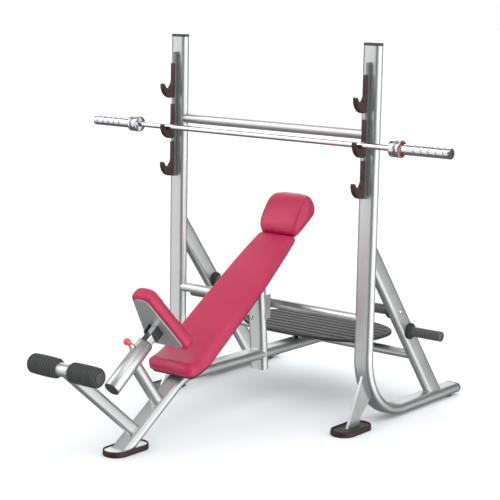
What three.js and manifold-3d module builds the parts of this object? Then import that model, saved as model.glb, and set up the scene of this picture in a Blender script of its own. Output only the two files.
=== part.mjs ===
// Olympic incline bench press: rack, incline bench, height-adjustable leg pad and barbell.
// Millimetres, +Z up, +X along the barbell, +Y to the rear. The origin is on the floor,
// under the middle of the whole machine.
import * as THREE from 'three';
import { mergeVertices } from 'three/addons/utils/BufferGeometryUtils.js';
import Module from 'manifold-3d';

const wasm = await Module();
wasm.setup();

// ---- driving dimensions -------------------------------------------------------------------
const GAP = 0.3;                     // clearance between pieces that touch
const TUBE_WIDE = 100;               // flat-sided oval frame tube
const TUBE_THIN = 50;
const TUBE_WALL = 4;
const RACK_X = 597;                  // middle of each upright from the centre plane
const RACK_TOP = 1860;
const SKID_Z = 37;                   // centreline of the floor skids
const SKID_END = 848;
const SKID_BEND = 320;
const CAP = 4;                       // flange of the tube end caps
const BRACE_TOP = [25, 860];         // (y, z) of the brace's centreline at the upright
const BRACE_FOOT = [642, 62];        // and at the skid
const BAR_D = 48;                    // round crossbars
const UPPER_BAR_Z = 1430;
const LOWER_BAR_Z = 540;
const REAR_BAR = [478, 275];
const BEAM_Z = 285;
const POST_FOOT = [-51, 206];
const POST_HEAD = [-93, 700];
const KNEE_Y = -668;                 // where the beam bends down into the front leg
const KNEE_BEND = 200;
const FOOT_PLATE = [112, 236, 9];    // width, length, thickness
const BOOT = [125, 250, 28];
const BOOT_SOLE = 13;
const SIDE_FOOT_Y = -90;
const FRONT_FOOT_Y = -1035;
const HORN_D = 50;
const HORN_LENGTH = 186;
const OUTER_HORN = [365, 425];
const INNER_HORN = [276, 537];
const BAR_R = 14;                    // barbell shaft
const BAR_AT = [-99, 1389];          // barbell centre on the middle hooks
const BAR_HALF = 1100;
const COLLAR_X = 783;                // inner face of each bar collar
const COLLAR_LENGTH = 57;
const HOOK_STEPS = [1583, 1374.7, 1181];   // cradle bottoms, top hook first
const PLATFORM_TOP = 357;
const PLATFORM = [414, 255];         // half width and half depth
const PLATFORM_SKIRT = 17;
const PLATFORM_Y = 435;
const SEAT_WIDTH = 290;
const SEAT_FRONT = [-756, 364];      // (y, z) of the seat's front edge on the sitting face
const SEAT_CREASE = [-655, 386];     // where the seat turns up into the backrest
const BACK_ANGLE = rad(34.5);
const SEAT_CORNER = 38;              // radius of the seat's front corners
const BACK_LENGTH = 884;
const PADDING = 56;                  // depth of the cushion, less TAPER at the top of the back
const TAPER = 26;
const BOARD = 14;
const BENCH_TURN = 60;               // length of each leg of the curve at the crease
const SLEEVE_FOOT = [-1129, 313];    // lower end of the height sleeve
const SLEEVE_ANGLE = rad(37.5);
const SLEEVE_LENGTH = 275;
const SLEEVE_R = 38;
const STRUT_AT = 172;                // along the sleeve from its lower end
const STRUT_R = 29;
const PIN_AT = 222;
const PIN_TURN = rad(-115);          // leans towards -X as seen along the sleeve
const KNOB_AT = SLEEVE_R + 38;
const INNER_SQUARE = 44;
const ROLLER_AXLE = [-1417, 455];
const ROLLER_R = 46.5;
const ROLLER_FROM = 38;
const ROLLER_TO = 207;

function rad(degrees) {
  return degrees * Math.PI / 180;
}

// ---- materials ----------------------------------------------------------------------------
const LOOKS = {
  frame: [0xb4b8b8, 0.35, 0.6],
  cap: [0x555855, 0.6, 0.0],
  rubber: [0x171717, 0.8, 0.0],
  brown: [0x3c2628, 0.6, 0.0],
  vinyl: [0xd04b70, 0.5, 0.0],
  board: [0x2a2a2a, 0.7, 0.0],
  grip: [0x48494a, 0.75, 0.0],
  horn: [0x5e6060, 0.5, 0.2],
  chrome: [0xd8dadb, 0.12, 1.0],
  plate: [0xa0a3a0, 0.4, 0.3],
  knob: [0xfa4646, 0.3, 0.0],
};

function look(slot) {
  const [color, roughness, metalness] = LOOKS[slot];
  return new THREE.MeshStandardMaterial({ color, roughness, metalness });
}

// ---- solids -------------------------------------------------------------------------------
// The closed solid of a geometry, with its faces pointing out.
function solid(geometry) {
  const bare = geometry.index ? geometry.toNonIndexed() : geometry.clone();
  bare.deleteAttribute('normal');
  bare.deleteAttribute('uv');
  const merged = mergeVertices(bare, 1e-4);
  const p = new Float32Array(merged.attributes.position.array);
  const corner = (i) => new THREE.Vector3(p[3 * i], p[3 * i + 1], p[3 * i + 2]);
  const triangles = [];
  let volume = 0;
  for (let i = 0; i < merged.index.count; i += 3) {
    const [a, b, c] = merged.index.array.slice(i, i + 3);
    if (a === b || b === c || c === a) continue;
    triangles.push([a, b, c]);
    volume += corner(a).dot(corner(b).cross(corner(c)));
  }
  const outward = volume > 0 ? triangles : triangles.map(([a, b, c]) => [a, c, b]);
  return new wasm.Manifold(new wasm.Mesh({
    numProp: 3,
    vertProperties: p,
    triVerts: new Uint32Array(outward.flat()),
  }));
}

function geometryOf(body) {
  const mesh = body.getMesh();
  const geometry = new THREE.BufferGeometry();
  geometry.setAttribute('position', new THREE.BufferAttribute(new Float32Array(mesh.vertProperties), 3));
  geometry.setIndex(new THREE.BufferAttribute(new Uint32Array(mesh.triVerts), 1));
  return geometry;
}

// What is left of a geometry after its cutters, without the slivers that they leave.
function cut(geometry, ...cutters) {
  let body = solid(geometry);
  for (const cutter of cutters) body = body.subtract(solid(cutter));
  const [largest] = body.decompose().sort((a, b) => b.volume() - a.volume());
  return geometryOf(largest);
}

function weld(...geometries) {
  let body = solid(geometries[0]);
  for (const geometry of geometries.slice(1)) body = body.add(solid(geometry));
  return geometryOf(body);
}

function piece(name, slot, geometry, at = [0, 0, 0]) {
  const mesh = new THREE.Mesh(geometryOf(solid(geometry)), look(slot));
  mesh.name = name;
  mesh.position.set(...at);
  return mesh;
}

// ---- shapes -------------------------------------------------------------------------------
function oval(width, height, wall = 0, Kind = THREE.Shape) {
  const shape = new Kind();
  const r = Math.min(width, height) / 2;
  const a = Math.abs(width - height) / 2;
  const turn = width >= height ? 0 : Math.PI / 2;
  const along = (s) => [s * Math.cos(turn), s * Math.sin(turn)];
  shape.absarc(...along(a), r, turn - Math.PI / 2, turn + Math.PI / 2, false);
  shape.absarc(...along(-a), r, turn + Math.PI / 2, turn + 1.5 * Math.PI, false);
  shape.closePath();
  if (wall > 0) shape.holes.push(oval(width - 2 * wall, height - 2 * wall, 0, THREE.Path));
  return shape;
}

// A path in a plane of constant x: straight runs and one bend radius, sampled only where it
// turns. A section's own x stays along the x axis all the way.
class BentPath extends THREE.Curve {
  constructor(corners, radius = 1, turns = 12) {
    super();
    const points = corners.map(([x, y, z]) => new THREE.Vector3(x, y, z));
    const first = points[1].clone().sub(points[0]).normalize();
    this.stations = [[points[0], first]];
    for (let i = 1; i < points.length - 1; i += 1) {
      const before = points[i].clone().sub(points[i - 1]).normalize();
      const after = points[i + 1].clone().sub(points[i]).normalize();
      const angle = before.angleTo(after);
      const side = after.clone().addScaledVector(before, -before.dot(after)).normalize();
      const start = points[i].clone().addScaledVector(before, -radius * Math.tan(angle / 2));
      for (let k = 0; k <= turns; k += 1) {
        const a = angle * k / turns;
        const at = start.clone().addScaledVector(before, radius * Math.sin(a));
        at.addScaledVector(side, radius * (1 - Math.cos(a)));
        const heading = before.clone().multiplyScalar(Math.cos(a)).addScaledVector(side, Math.sin(a));
        this.stations.push([at, heading]);
      }
    }
    const last = points.length - 1;
    this.stations.push([points[last], points[last].clone().sub(points[last - 1]).normalize()]);
  }

  station(t) {
    return this.stations[Math.round(t * (this.stations.length - 1))];
  }

  getPoint(t) {
    return this.station(t)[0].clone();
  }

  getPointAt(t) {
    return this.getPoint(t);
  }

  getTangentAt(t) {
    return this.station(t)[1].clone();
  }

  computeFrenetFrames() {
    const tangents = this.stations.map(([, heading]) => heading);
    const normals = tangents.map(() => new THREE.Vector3(1, 0, 0));
    const binormals = tangents.map((heading) => heading.clone().cross(normals[0]));
    return { tangents, normals, binormals };
  }
}

function sweep(shape, path, curveSegments = 4) {
  const steps = path.stations.length - 1;
  return new THREE.ExtrudeGeometry(shape, { steps, extrudePath: path, curveSegments });
}

function prism(shape, height, z = 0, curveSegments = 6) {
  const geometry = new THREE.ExtrudeGeometry(shape, { depth: height, bevelEnabled: false, curveSegments });
  return geometry.translate(0, 0, z);
}

// A plate that lies in a plane of constant x; its shape is drawn in (y, z).
function sidePlate(shape, thickness, x = 0, curveSegments = 8) {
  const geometry = prism(shape, thickness, -thickness / 2, curveSegments);
  const basis = new THREE.Matrix4().makeBasis(
    new THREE.Vector3(0, 1, 0), new THREE.Vector3(0, 0, 1), new THREE.Vector3(1, 0, 0));
  return geometry.applyMatrix4(basis).translate(x, 0, 0);
}

function outline(points) {
  return new THREE.Shape(points.map(([a, b]) => new THREE.Vector2(a, b)));
}

function box(sx, sy, sz, x = 0, y = 0, z = 0) {
  return new THREE.BoxGeometry(sx, sy, sz).translate(x, y, z);
}

// A turned piece about the x axis. Its (x, radius) profile runs from axis to axis, or closes.
function turned(profile, segments = 24) {
  const geometry = new THREE.LatheGeometry(profile.map(([x, r]) => new THREE.Vector2(r, x)), segments);
  return geometry.rotateZ(-Math.PI / 2);
}

function ring(profile, segments) {
  return turned([...profile, profile[0]], segments);
}

function rod(radius, from, to, segments) {
  return turned([[from, 0], [from, radius], [to, radius], [to, 0]], segments);
}

function pipe(radius, wall, from, to, segments) {
  return ring([[from, radius], [to, radius], [to, radius - wall], [from, radius - wall]], segments);
}

// A closed outline through its corners, each rounded off.
function rounded(corners, radius) {
  const shape = new THREE.Shape();
  const points = corners.map(([a, b]) => new THREE.Vector2(a, b));
  points.forEach((corner, i) => {
    const before = points.at(i - 1).clone().sub(corner).setLength(radius).add(corner);
    const after = points[(i + 1) % points.length].clone().sub(corner).setLength(radius).add(corner);
    if (i === 0) shape.moveTo(before.x, before.y);
    else shape.lineTo(before.x, before.y);
    shape.quadraticCurveTo(corner.x, corner.y, after.x, after.y);
  });
  shape.closePath();
  return shape;
}

// ---- side frames: upright, floor skid, brace, foot and their trim -------------------------
function frameTube(extra = 0, wall = TUBE_WALL) {
  const path = new BentPath(
    [[0, 0, RACK_TOP - CAP - GAP], [0, 0, SKID_Z], [0, SKID_END, SKID_Z]], SKID_BEND, 10);
  return sweep(oval(TUBE_WIDE + 2 * extra, TUBE_THIN + 2 * extra, wall), path);
}

const frameCutter = frameTube(GAP, 0);

function tubeCap() {
  const flange = prism(oval(TUBE_WIDE, TUBE_THIN), CAP);
  const inside = 2 * TUBE_WALL + 5 * GAP;
  return weld(flange, prism(oval(TUBE_WIDE - inside, TUBE_THIN - inside), 22, -21));
}

function brace() {
  const path = new BentPath([[0, ...BRACE_TOP], [0, ...BRACE_FOOT]]);
  return cut(sweep(oval(TUBE_THIN, TUBE_WIDE, TUBE_WALL), path), frameCutter);
}

const braceCutter = sweep(oval(TUBE_THIN + 2 * GAP, TUBE_WIDE + 2 * GAP),
  new BentPath([[0, ...BRACE_TOP], [0, ...BRACE_FOOT]]));

function footPlate() {
  const [width, length, thickness] = FOOT_PLATE;
  return prism(oval(width, length), thickness, BOOT_SOLE + GAP);
}

function boot() {
  const [width, length, height] = BOOT;
  const pocket = oval(FOOT_PLATE[0] + 2 * GAP, FOOT_PLATE[1] + 2 * GAP);
  return cut(prism(oval(width, length), height), prism(pocket, height, BOOT_SOLE));
}

// The gusset drops from the skid's bend on to the foot plate.
function sideFoot() {
  const base = BOOT_SOLE + GAP + FOOT_PLATE[2] / 2;
  const gusset = outline([
    [-128, base], [-22, base], [-22, 58], [62, 136], [78, 150], [16, 262], [-8, 268]]);
  return weld(footPlate().translate(0, SIDE_FOOT_Y, 0), cut(sidePlate(gusset, 14), frameCutter));
}

function skidPad() {
  return prism(oval(56, 48), SKID_Z - TUBE_THIN / 2 - GAP);
}

// ---- bar hooks ----------------------------------------------------------------------------
const HOOK_FACE = -62;               // rear wall of the hook's throat
const LINER = 10;                    // rubber between the throat and the rail
const LINER_WIDE = 24;
const RAIL_ABOVE = 187;              // steel rail beyond the top and low cradles
const RAIL_BELOW = 52;
// The steel arm under a cradle bottom: (y, z) of each corner, and which way it moves to grow.
const HOOK_ARM = [
  [-45, 20, 0, 1], [-62, 2, 0, 1], [-80, -12, 0, 1], [-104, -12, 0, 1], [-122, 2, 0, 1],
  [-131, 2, -1, 1], [-122, -14, -1, -1], [-106, -28, -1, -1], [-86, -36, -1, -1], [-45, -36, 0, -1]];

function hookArm(height, extra = 0) {
  const corners = HOOK_ARM.map(([y, z, dy, dz]) => [y + extra * dy, z + height + extra * dz]);
  return sidePlate(outline(corners), 9 + extra);
}

// A fat rubber J about the throat, slotted from behind for the steel arm.
function hookLiner() {
  const y = BAR_AT[0];
  const shape = new THREE.Shape();
  shape.moveTo(HOOK_FACE, 130);
  shape.lineTo(HOOK_FACE, 42);
  shape.quadraticCurveTo(HOOK_FACE - 2, 26, y + 19, 8);
  shape.quadraticCurveTo(y + 8, 0, y, 0);
  shape.quadraticCurveTo(y - 10, 0, y - 18, 8);
  shape.quadraticCurveTo(y - 24, 16, y - 32, 27);
  shape.quadraticCurveTo(y - 37, 32, y - 42, 22);
  shape.quadraticCurveTo(y - 42, -2, y - 29, -20);
  shape.quadraticCurveTo(y - 12, -42, y + 16, -47);
  shape.lineTo(HOOK_FACE + LINER - 6, -46);
  shape.lineTo(HOOK_FACE + LINER, -40);
  shape.lineTo(HOOK_FACE + LINER, 130);
  shape.closePath();
  return cut(sidePlate(shape, LINER_WIDE, 0, 4), hookArm(0, 1.2));
}

function hookRail() {
  const top = HOOK_STEPS[0] + RAIL_ABOVE;
  const low = HOOK_STEPS[2] - RAIL_BELOW;
  const front = HOOK_FACE + LINER + GAP;
  const back = -TUBE_THIN / 2 - GAP;
  const plate = box(9, back - front, top - low, 0, (front + back) / 2, (top + low) / 2);
  const flange = box(34, 5, top - low - 30, 0, back - 2.5, (top + low) / 2);
  return weld(plate, flange, ...HOOK_STEPS.map((height) => hookArm(height)));
}

// ---- plate horns --------------------------------------------------------------------------
const HORN_FOOT = TUBE_THIN / 2 + GAP;
const RING_D = 82;
const RING_LENGTH = 19;

function horn() {
  const r = HORN_D / 2;
  const end = HORN_FOOT + HORN_LENGTH;
  return turned([[end - 6, 0], [end - 6, r - 3], [HORN_FOOT, r - 3], [HORN_FOOT, r],
    [end - 4, r], [end, r - 4], [end, 0]], 18);
}

function hornRing() {
  const bore = HORN_D / 2 + GAP;
  return ring([[HORN_FOOT, bore], [HORN_FOOT + RING_LENGTH, bore], [HORN_FOOT + RING_LENGTH, RING_D / 2 - 9],
    [HORN_FOOT + RING_LENGTH - 8, RING_D / 2], [HORN_FOOT, RING_D / 2]], 18);
}

function sideGroup(side, word) {
  const group = new THREE.Group();
  group.position.x = side * RACK_X;
  group.add(piece(`${word}_upright_and_skid`, 'frame', frameTube()));
  group.add(piece(`${word}_upright_cap`, 'cap', tubeCap(), [0, 0, RACK_TOP - CAP]));
  const rearCap = piece(`${word}_skid_cap`, 'cap', tubeCap(), [0, SKID_END + GAP, SKID_Z]);
  rearCap.rotation.x = -Math.PI / 2;
  group.add(rearCap);
  group.add(piece(`${word}_skid_pad`, 'rubber', skidPad(), [0, SKID_END - 58, 0]));
  group.add(piece(`${word}_brace`, 'frame', brace()));
  group.add(piece(`${word}_foot_bracket`, 'frame', sideFoot()));
  group.add(piece(`${word}_foot_boot`, 'brown', boot(), [0, SIDE_FOOT_Y, 0]));
  group.add(piece(`${word}_hook_rail`, 'plate', hookRail()));
  HOOK_STEPS.forEach((height, i) => {
    const level = ['top', 'middle', 'low'][i];
    group.add(piece(`${word}_${level}_hook_liner`, 'brown', hookLiner(), [0, 0, height]));
  });
  for (const [place, at, facing] of [['outer', OUTER_HORN, side], ['inner', INNER_HORN, -side]]) {
    const parts = [piece(`${word}_${place}_horn`, 'horn', horn(), [0, ...at]),
      piece(`${word}_${place}_horn_ring`, 'rubber', hornRing(), [0, ...at])];
    for (const part of parts) part.rotation.y = facing > 0 ? 0 : Math.PI;
    group.add(...parts);
  }
  return group;
}

// ---- crossbars, beam, post and platform ---------------------------------------------------
const bothFrames = [-1, 1].map((side) => frameCutter.clone().translate(side * RACK_X, 0, 0));
const bothBraces = [-1, 1].map((side) => braceCutter.clone().translate(side * RACK_X, 0, 0));

function crossbar(y, z, cutters) {
  return cut(pipe(BAR_D / 2, 3, -RACK_X, RACK_X, 20).translate(0, y, z), ...cutters);
}

function post(extra = 0, wall = TUBE_WALL) {
  const path = new BentPath([[0, ...POST_FOOT], [0, ...POST_HEAD]]);
  return sweep(oval(TUBE_WIDE + 2 * extra, TUBE_THIN + 2 * extra, wall), path);
}

const postCutter = post(GAP, 0);
const postMiddle = post(-TUBE_WALL / 2, 0);
const crossbarCutter = (y, z) => rod(BAR_D / 2 + GAP, -RACK_X, RACK_X, 20).translate(0, y, z);

function frontBeam(extra = 0, wall = TUBE_WALL) {
  const path = new BentPath([[0, FRONT_FOOT_Y - 10, 26], [0, KNEE_Y, BEAM_Z], [0, -62, BEAM_Z]], KNEE_BEND, 5);
  return sweep(oval(TUBE_WIDE + 2 * extra, TUBE_THIN + 2 * extra, wall), path);
}

const frontBeamCutter = frontBeam(GAP, 0);

// The leg stands on the front foot plate, and the seat's mount sits on the knee.
function frontBeamAndLeg() {
  const underPlate = box(400, 400, 200, 0, FRONT_FOOT_Y, BOOT_SOLE + GAP + FOOT_PLATE[2] / 2 - 100);
  const mount = cut(box(76, 96, 60, 0, SEAT_CREASE[0] + 28, BEAM_Z + 50), boardCutter);
  return weld(cut(frontBeam(), postCutter, underPlate), footPlate().translate(0, FRONT_FOOT_Y, 0), mount);
}

// Two cheeks and a top plate on the beam carry the platform.
function rearBeam() {
  const path = new BentPath([[0, -60, BEAM_Z], [0, REAR_BAR[0] - 12, BEAM_Z]]);
  const tube = cut(sweep(oval(TUBE_WIDE, TUBE_THIN, TUBE_WALL), path), postCutter, crossbarCutter(...REAR_BAR));
  const low = BEAM_Z + TUBE_THIN / 2 - 2;
  const high = PLATFORM_TOP - 10 - GAP;
  const cheeks = [-18, 18].map((x) => box(8, 150, high - low, x, 330, (high + low) / 2));
  return weld(tube, box(300, 150, 5, 0, 330, high - 2.5), ...cheeks);
}

// The post, with the saddle on its back that takes the lower crossbar.
function backrestPost() {
  const railCutter = box(200, 2000, 400, 0, 0, 200 - RAIL - 2 * GAP);
  railCutter.applyMatrix4(underBoard).applyMatrix4(backFrame);
  const saddle = weld(box(52, 40, 74, 0, -38, LOWER_BAR_Z - 4), box(9, 52, 124, 45, -58, LOWER_BAR_Z - 10),
    box(50, 8, 74, 22, -44, LOWER_BAR_Z - 4));
  return weld(cut(post(), railCutter), cut(saddle, postMiddle, crossbarCutter(0, LOWER_BAR_Z)));
}

function platformOutline(inset) {
  const [a, b] = PLATFORM.map((half) => half - inset);
  const power = 2 / 2.7;
  const points = [];
  for (let i = 0; i < 40; i += 1) {
    const t = i * 2 * Math.PI / 40;
    const bulge = (v) => Math.sign(v) * Math.abs(v) ** power;
    points.push([a * bulge(Math.cos(t)), b * bulge(Math.sin(t))]);
  }
  return outline(points);
}

function platform() {
  const skirt = prism(platformOutline(0), PLATFORM_SKIRT, PLATFORM_TOP - PLATFORM_SKIRT);
  const hollow = prism(platformOutline(6), PLATFORM_SKIRT, PLATFORM_TOP - PLATFORM_SKIRT - 10);
  return cut(skirt, hollow).translate(0, PLATFORM_Y, 0);
}

// ---- bench: board, cushion, rail and headrest ---------------------------------------------
const back = new THREE.Vector2(Math.cos(BACK_ANGLE), Math.sin(BACK_ANGLE));
const front = new THREE.Vector2(...SEAT_FRONT);
const crease = new THREE.Vector2(...SEAT_CREASE);
const seat = crease.clone().sub(front).normalize();
const upright = (direction) => new THREE.Vector2(-direction.y, direction.x);

// A sheet that follows seat and backrest, between two depths below the sitting face.
function benchLayer(high, low, inset) {
  const run = (depth) => {
    const half = (back.angle() - seat.angle()) / 2;
    const middle = upright(back.clone().add(seat).normalize()).multiplyScalar(-depth / Math.cos(half));
    const turn = crease.clone().add(middle);
    const tip = front.clone().addScaledVector(seat, inset).addScaledVector(upright(seat), -depth);
    const reach = BACK_LENGTH - inset;
    const thinning = depth > 0 ? TAPER * (reach - BENCH_TURN) / (BACK_LENGTH - BENCH_TURN) : 0;
    const top = crease.clone().addScaledVector(back, reach);
    top.addScaledVector(upright(back), thinning - depth);
    const bend = new THREE.QuadraticBezierCurve(
      turn.clone().addScaledVector(seat, -BENCH_TURN), turn, turn.clone().addScaledVector(back, BENCH_TURN));
    return [tip, ...bend.getPoints(5), top];
  };
  return outline([...run(high), ...run(low).reverse()].map(({ x, y }) => [x, y]));
}

// Half width of the bench along its length from the crease; the backrest narrows at the top.
function planOutline(inset) {
  const half = SEAT_WIDTH / 2 - inset;
  const top = BACK_LENGTH + 60;
  const taper = new THREE.SplineCurve([[half, 380], [half - 8, 640], [half - 30, BACK_LENGTH], [half - 36, top]]
    .map(([x, s]) => new THREE.Vector2(x, s))).getPoints(4);
  const right = [[half, -260], ...taper.map(({ x, y }) => [x, y])];
  return outline([...right, ...right.map(([x, s]) => [-x, s]).reverse()]);
}

// Plan of the seat, rounded at its two front corners, which runs on past the backrest.
function seatOutline(inset) {
  const half = SEAT_WIDTH / 2 - inset;
  const tip = inset - crease.distanceTo(front);
  const radius = SEAT_CORNER - inset;
  const right = [];
  for (let k = 6; k >= 0; k -= 1) {
    const turn = (k / 6) * (Math.PI / 2);
    right.push([half - radius + radius * Math.cos(turn), tip + radius - radius * Math.sin(turn)]);
  }
  right.push([half, 1000]);
  return outline([...right, ...right.map(([x, s]) => [-x, s]).reverse()]);
}

const seatFrame = new THREE.Matrix4().makeRotationX(seat.angle()).setPosition(0, crease.x, crease.y);
const backFrame = new THREE.Matrix4().makeRotationX(BACK_ANGLE).setPosition(0, crease.x, crease.y);

function benchSheet(high, low, inset) {
  const layer = sidePlate(benchLayer(high, low, inset), SEAT_WIDTH + 20);
  const plan = prism(planOutline(inset), 600, -300).applyMatrix4(backFrame);
  const corners = prism(seatOutline(inset), 700, -300).applyMatrix4(seatFrame);
  return geometryOf(solid(layer).intersect(solid(plan)).intersect(solid(corners)));
}

const BOARD_LOW = PADDING + GAP + BOARD;
const RAIL = 26;
const boardCutter = sidePlate(benchLayer(PADDING - 40, BOARD_LOW + GAP, 0), 400);

// The board's underside in the backrest's own frame: it closes on the face towards the top.
const underBoard = new THREE.Matrix4()
  .makeRotationX(Math.atan(TAPER / (BACK_LENGTH - BENCH_TURN)))
  .setPosition(0, BENCH_TURN, -BOARD_LOW);

function backRail() {
  const rail = box(44, BACK_LENGTH - 110, RAIL, 0, (BACK_LENGTH + 70) / 2, -GAP - RAIL / 2);
  return rail.applyMatrix4(underBoard);
}

const HEADREST_FROM = BACK_LENGTH + 5;
const HEADREST_WIDTH = 236;
const HEADREST_DEPTH = -22;

// Thin at the bottom and fat at the top, with its flat side on the bracket.
function headrest() {
  const shape = new THREE.Shape();
  shape.moveTo(4, HEADREST_DEPTH);
  shape.lineTo(0, -12);
  shape.lineTo(0, 6);
  shape.splineThru([[14, 16], [60, 40], [110, 64], [156, 82], [190, 86], [214, 72], [223, 38], [217, 2], [194, -19]]
    .map(([s, n]) => new THREE.Vector2(s, n)));
  shape.lineTo(180, HEADREST_DEPTH);
  shape.closePath();
  return sidePlate(shape, HEADREST_WIDTH, 0, 3).translate(0, HEADREST_FROM, 0);
}

// The rail under the backrest, with the cheeks and plate that hold the headrest.
function railAndBracket() {
  const low = TAPER - BOARD_LOW - GAP - RAIL;
  const high = HEADREST_DEPTH - GAP;
  const plate = box(120, 150, 5, 0, HEADREST_FROM + 88, high - 2.5);
  const cheek = outline([[HEADREST_FROM - 90, low], [HEADREST_FROM + 20, low], [HEADREST_FROM + 150, high - 3],
    [HEADREST_FROM + 12, high - 3], [HEADREST_FROM + 8, low + 14], [HEADREST_FROM - 90, low + 14]]);
  const cheeks = [-1, 1].map((side) => sidePlate(cheek, 5, side * 20));
  return weld(backRail(), plate, ...cheeks);
}

// ---- foot rollers -------------------------------------------------------------------------
function arm() {
  const path = new BentPath([[0, -982, 88], [0, ...ROLLER_AXLE]]);
  const bore = rod(16 + GAP, -60, 60, 24).translate(0, ...ROLLER_AXLE);
  return cut(sweep(oval(40, 62, 3), path), frontBeamCutter, bore);
}

function rollerAxle() {
  const end = ROLLER_TO + 9;
  return turned([[-end, 0], [-end, 26], [-ROLLER_TO - 1, 28], [-ROLLER_TO - 1, 16], [ROLLER_TO + 1, 16],
    [ROLLER_TO + 1, 28], [end, 26], [end, 0]], 18);
}

function roller() {
  const ribs = 8;
  const pitch = (ROLLER_TO - ROLLER_FROM - 20) / ribs;
  const profile = [[ROLLER_FROM, 17], [ROLLER_FROM, 40], [ROLLER_FROM + 4, 43]];
  for (let i = 0; i < ribs; i += 1) {
    const x = ROLLER_FROM + 10 + i * pitch;
    profile.push([x, 43], [x + 3, ROLLER_R], [x + pitch - 6, ROLLER_R], [x + pitch - 3, 43]);
  }
  profile.push([ROLLER_TO - 5, 43], [ROLLER_TO, 38], [ROLLER_TO, 17]);
  return ring(profile, 14);
}

// ---- height sleeve, inner tube, pull pin and leg pad --------------------------------------
// Their own frame: z along the sleeve from its lower end, y down and back, x across.
const legSupport = new THREE.Group();
legSupport.position.set(0, ...SLEEVE_FOOT);
legSupport.rotation.x = SLEEVE_ANGLE - Math.PI / 2;
legSupport.updateMatrix();
const intoSleeve = legSupport.matrix.clone().invert();
const alongZ = (geometry) => geometry.rotateY(-Math.PI / 2);

function strut() {
  const tube = pipe(STRUT_R, 3, 0, 290, 28).rotateZ(Math.PI / 2).translate(0, 0, STRUT_AT);
  const sleeve = alongZ(rod(SLEEVE_R + GAP, -20, SLEEVE_LENGTH + 20, 24));
  return cut(tube, sleeve, frontBeamCutter.clone().applyMatrix4(intoSleeve));
}

const acrossSleeve = (geometry) => geometry.rotateZ(PIN_TURN).translate(0, 0, PIN_AT);
const pinHole = () => acrossSleeve(rod(9.3, 0, 60, 20));

function heightSleeve() {
  const tube = alongZ(pipe(SLEEVE_R, 4, 0, SLEEVE_LENGTH, 24));
  return cut(tube, pinHole());
}

function sleevePlug() {
  const r = SLEEVE_R;
  return alongZ(turned([[-4, 0], [-4, r - 2], [-GAP, r], [-GAP, r - 4 - GAP], [14, r - 4 - GAP], [14, 0]], 24));
}

function sleeveBush() {
  const r = SLEEVE_R;
  const top = SLEEVE_LENGTH + 5;
  const body = alongZ(turned([[SLEEVE_LENGTH - 34, 0], [SLEEVE_LENGTH - 34, r - 4 - GAP],
    [SLEEVE_LENGTH + GAP, r - 4 - GAP], [SLEEVE_LENGTH + GAP, r], [top, r - 2], [top, 0]], 24));
  const bore = box(INNER_SQUARE + 2 * GAP, INNER_SQUARE + 2 * GAP, 200, 0, 0, SLEEVE_LENGTH);
  return cut(body, bore, pinHole());
}

const PAD_PLATE_AT = 372;
const PAD_BASE = PAD_PLATE_AT + 8 + GAP;
const PAD_THICK = 58;
const padCorners = (inset) => [[-130 + inset, 128 - inset], [130 - inset, 128 - inset],
  [50 - inset / 2, -210 + inset], [-50 + inset / 2, -210 + inset]];

function innerTube() {
  const outer = rounded([[-22, -22], [22, -22], [22, 22], [-22, 22]], 5);
  outer.holes.push(new THREE.Path([[-19, -19], [19, -19], [19, 19], [-19, 19]]
    .map(([x, y]) => new THREE.Vector2(x, y))));
  return prism(outer, PAD_PLATE_AT - GAP - 80, 80, 4);
}

function padPlate() {
  const plate = prism(rounded(padCorners(12), 34), 8, PAD_PLATE_AT, 6);
  const reach = INNER_SQUARE / 2 + GAP + 2.5;
  const ears = [-1, 1].map((side) => box(5, 60, 52, side * reach, 0, PAD_PLATE_AT - 25));
  return weld(plate, ...ears);
}

function legPad() {
  return prism(rounded(padCorners(0), 44), PAD_THICK, PAD_BASE, 6);
}

function pinHousing() {
  const tube = ring([[SLEEVE_R + 1, 8.6], [SLEEVE_R + 17, 8.6], [SLEEVE_R + 17, 12.5], [SLEEVE_R + 8, 12.5],
    [SLEEVE_R + 8, 15], [SLEEVE_R + 1, 15]], 20);
  return acrossSleeve(tube);
}

function pullPin() {
  return acrossSleeve(rod(7, INNER_SQUARE / 2 + 6.5, KNOB_AT - 8, 20));
}

function pullKnob() {
  const ball = new THREE.SphereGeometry(17, 16, 12).translate(KNOB_AT, 0, 0);
  return acrossSleeve(cut(ball, rod(7 + GAP, 0, KNOB_AT - 8 + GAP, 20)));
}

legSupport.add(
  piece('sleeve_strut', 'frame', strut()),
  piece('height_sleeve', 'frame', heightSleeve()),
  piece('sleeve_end_plug', 'cap', sleevePlug()),
  piece('sleeve_guide_bush', 'cap', sleeveBush()),
  piece('inner_tube', 'chrome', innerTube()),
  piece('leg_pad_plate', 'plate', padPlate()),
  piece('leg_pad', 'vinyl', legPad()),
  piece('pin_housing', 'chrome', pinHousing()),
  piece('pull_pin', 'chrome', pullPin()),
  piece('pull_knob', 'knob', pullKnob()));

// ---- barbell ------------------------------------------------------------------------------
function barSleeve() {
  const bore = BAR_R + 1;
  const flange = COLLAR_X + COLLAR_LENGTH;
  const profile = [[COLLAR_X, bore], [COLLAR_X, 38], [COLLAR_X + 2, 40], [COLLAR_X + 33, 40], [COLLAR_X + 35, 38],
    [COLLAR_X + 35, 34], [COLLAR_X + 41, 34], [COLLAR_X + 42, 40], [flange - 2, 40], [flange, 38], [flange, 25]];
  const grooves = 5;
  const pitch = 39;
  for (let i = 0; i < grooves; i += 1) {
    const x = BAR_HALF - 36 - (grooves - 1 - i) * pitch;
    profile.push([x, 25], [x + 2, 22.5], [x + 9, 22.5], [x + 11, 25]);
  }
  profile.push([BAR_HALF - 3, 25], [BAR_HALF, 22], [BAR_HALF, 0], [BAR_HALF - 14, 0], [BAR_HALF - 14, bore]);
  return ring(profile, 14);
}

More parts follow.
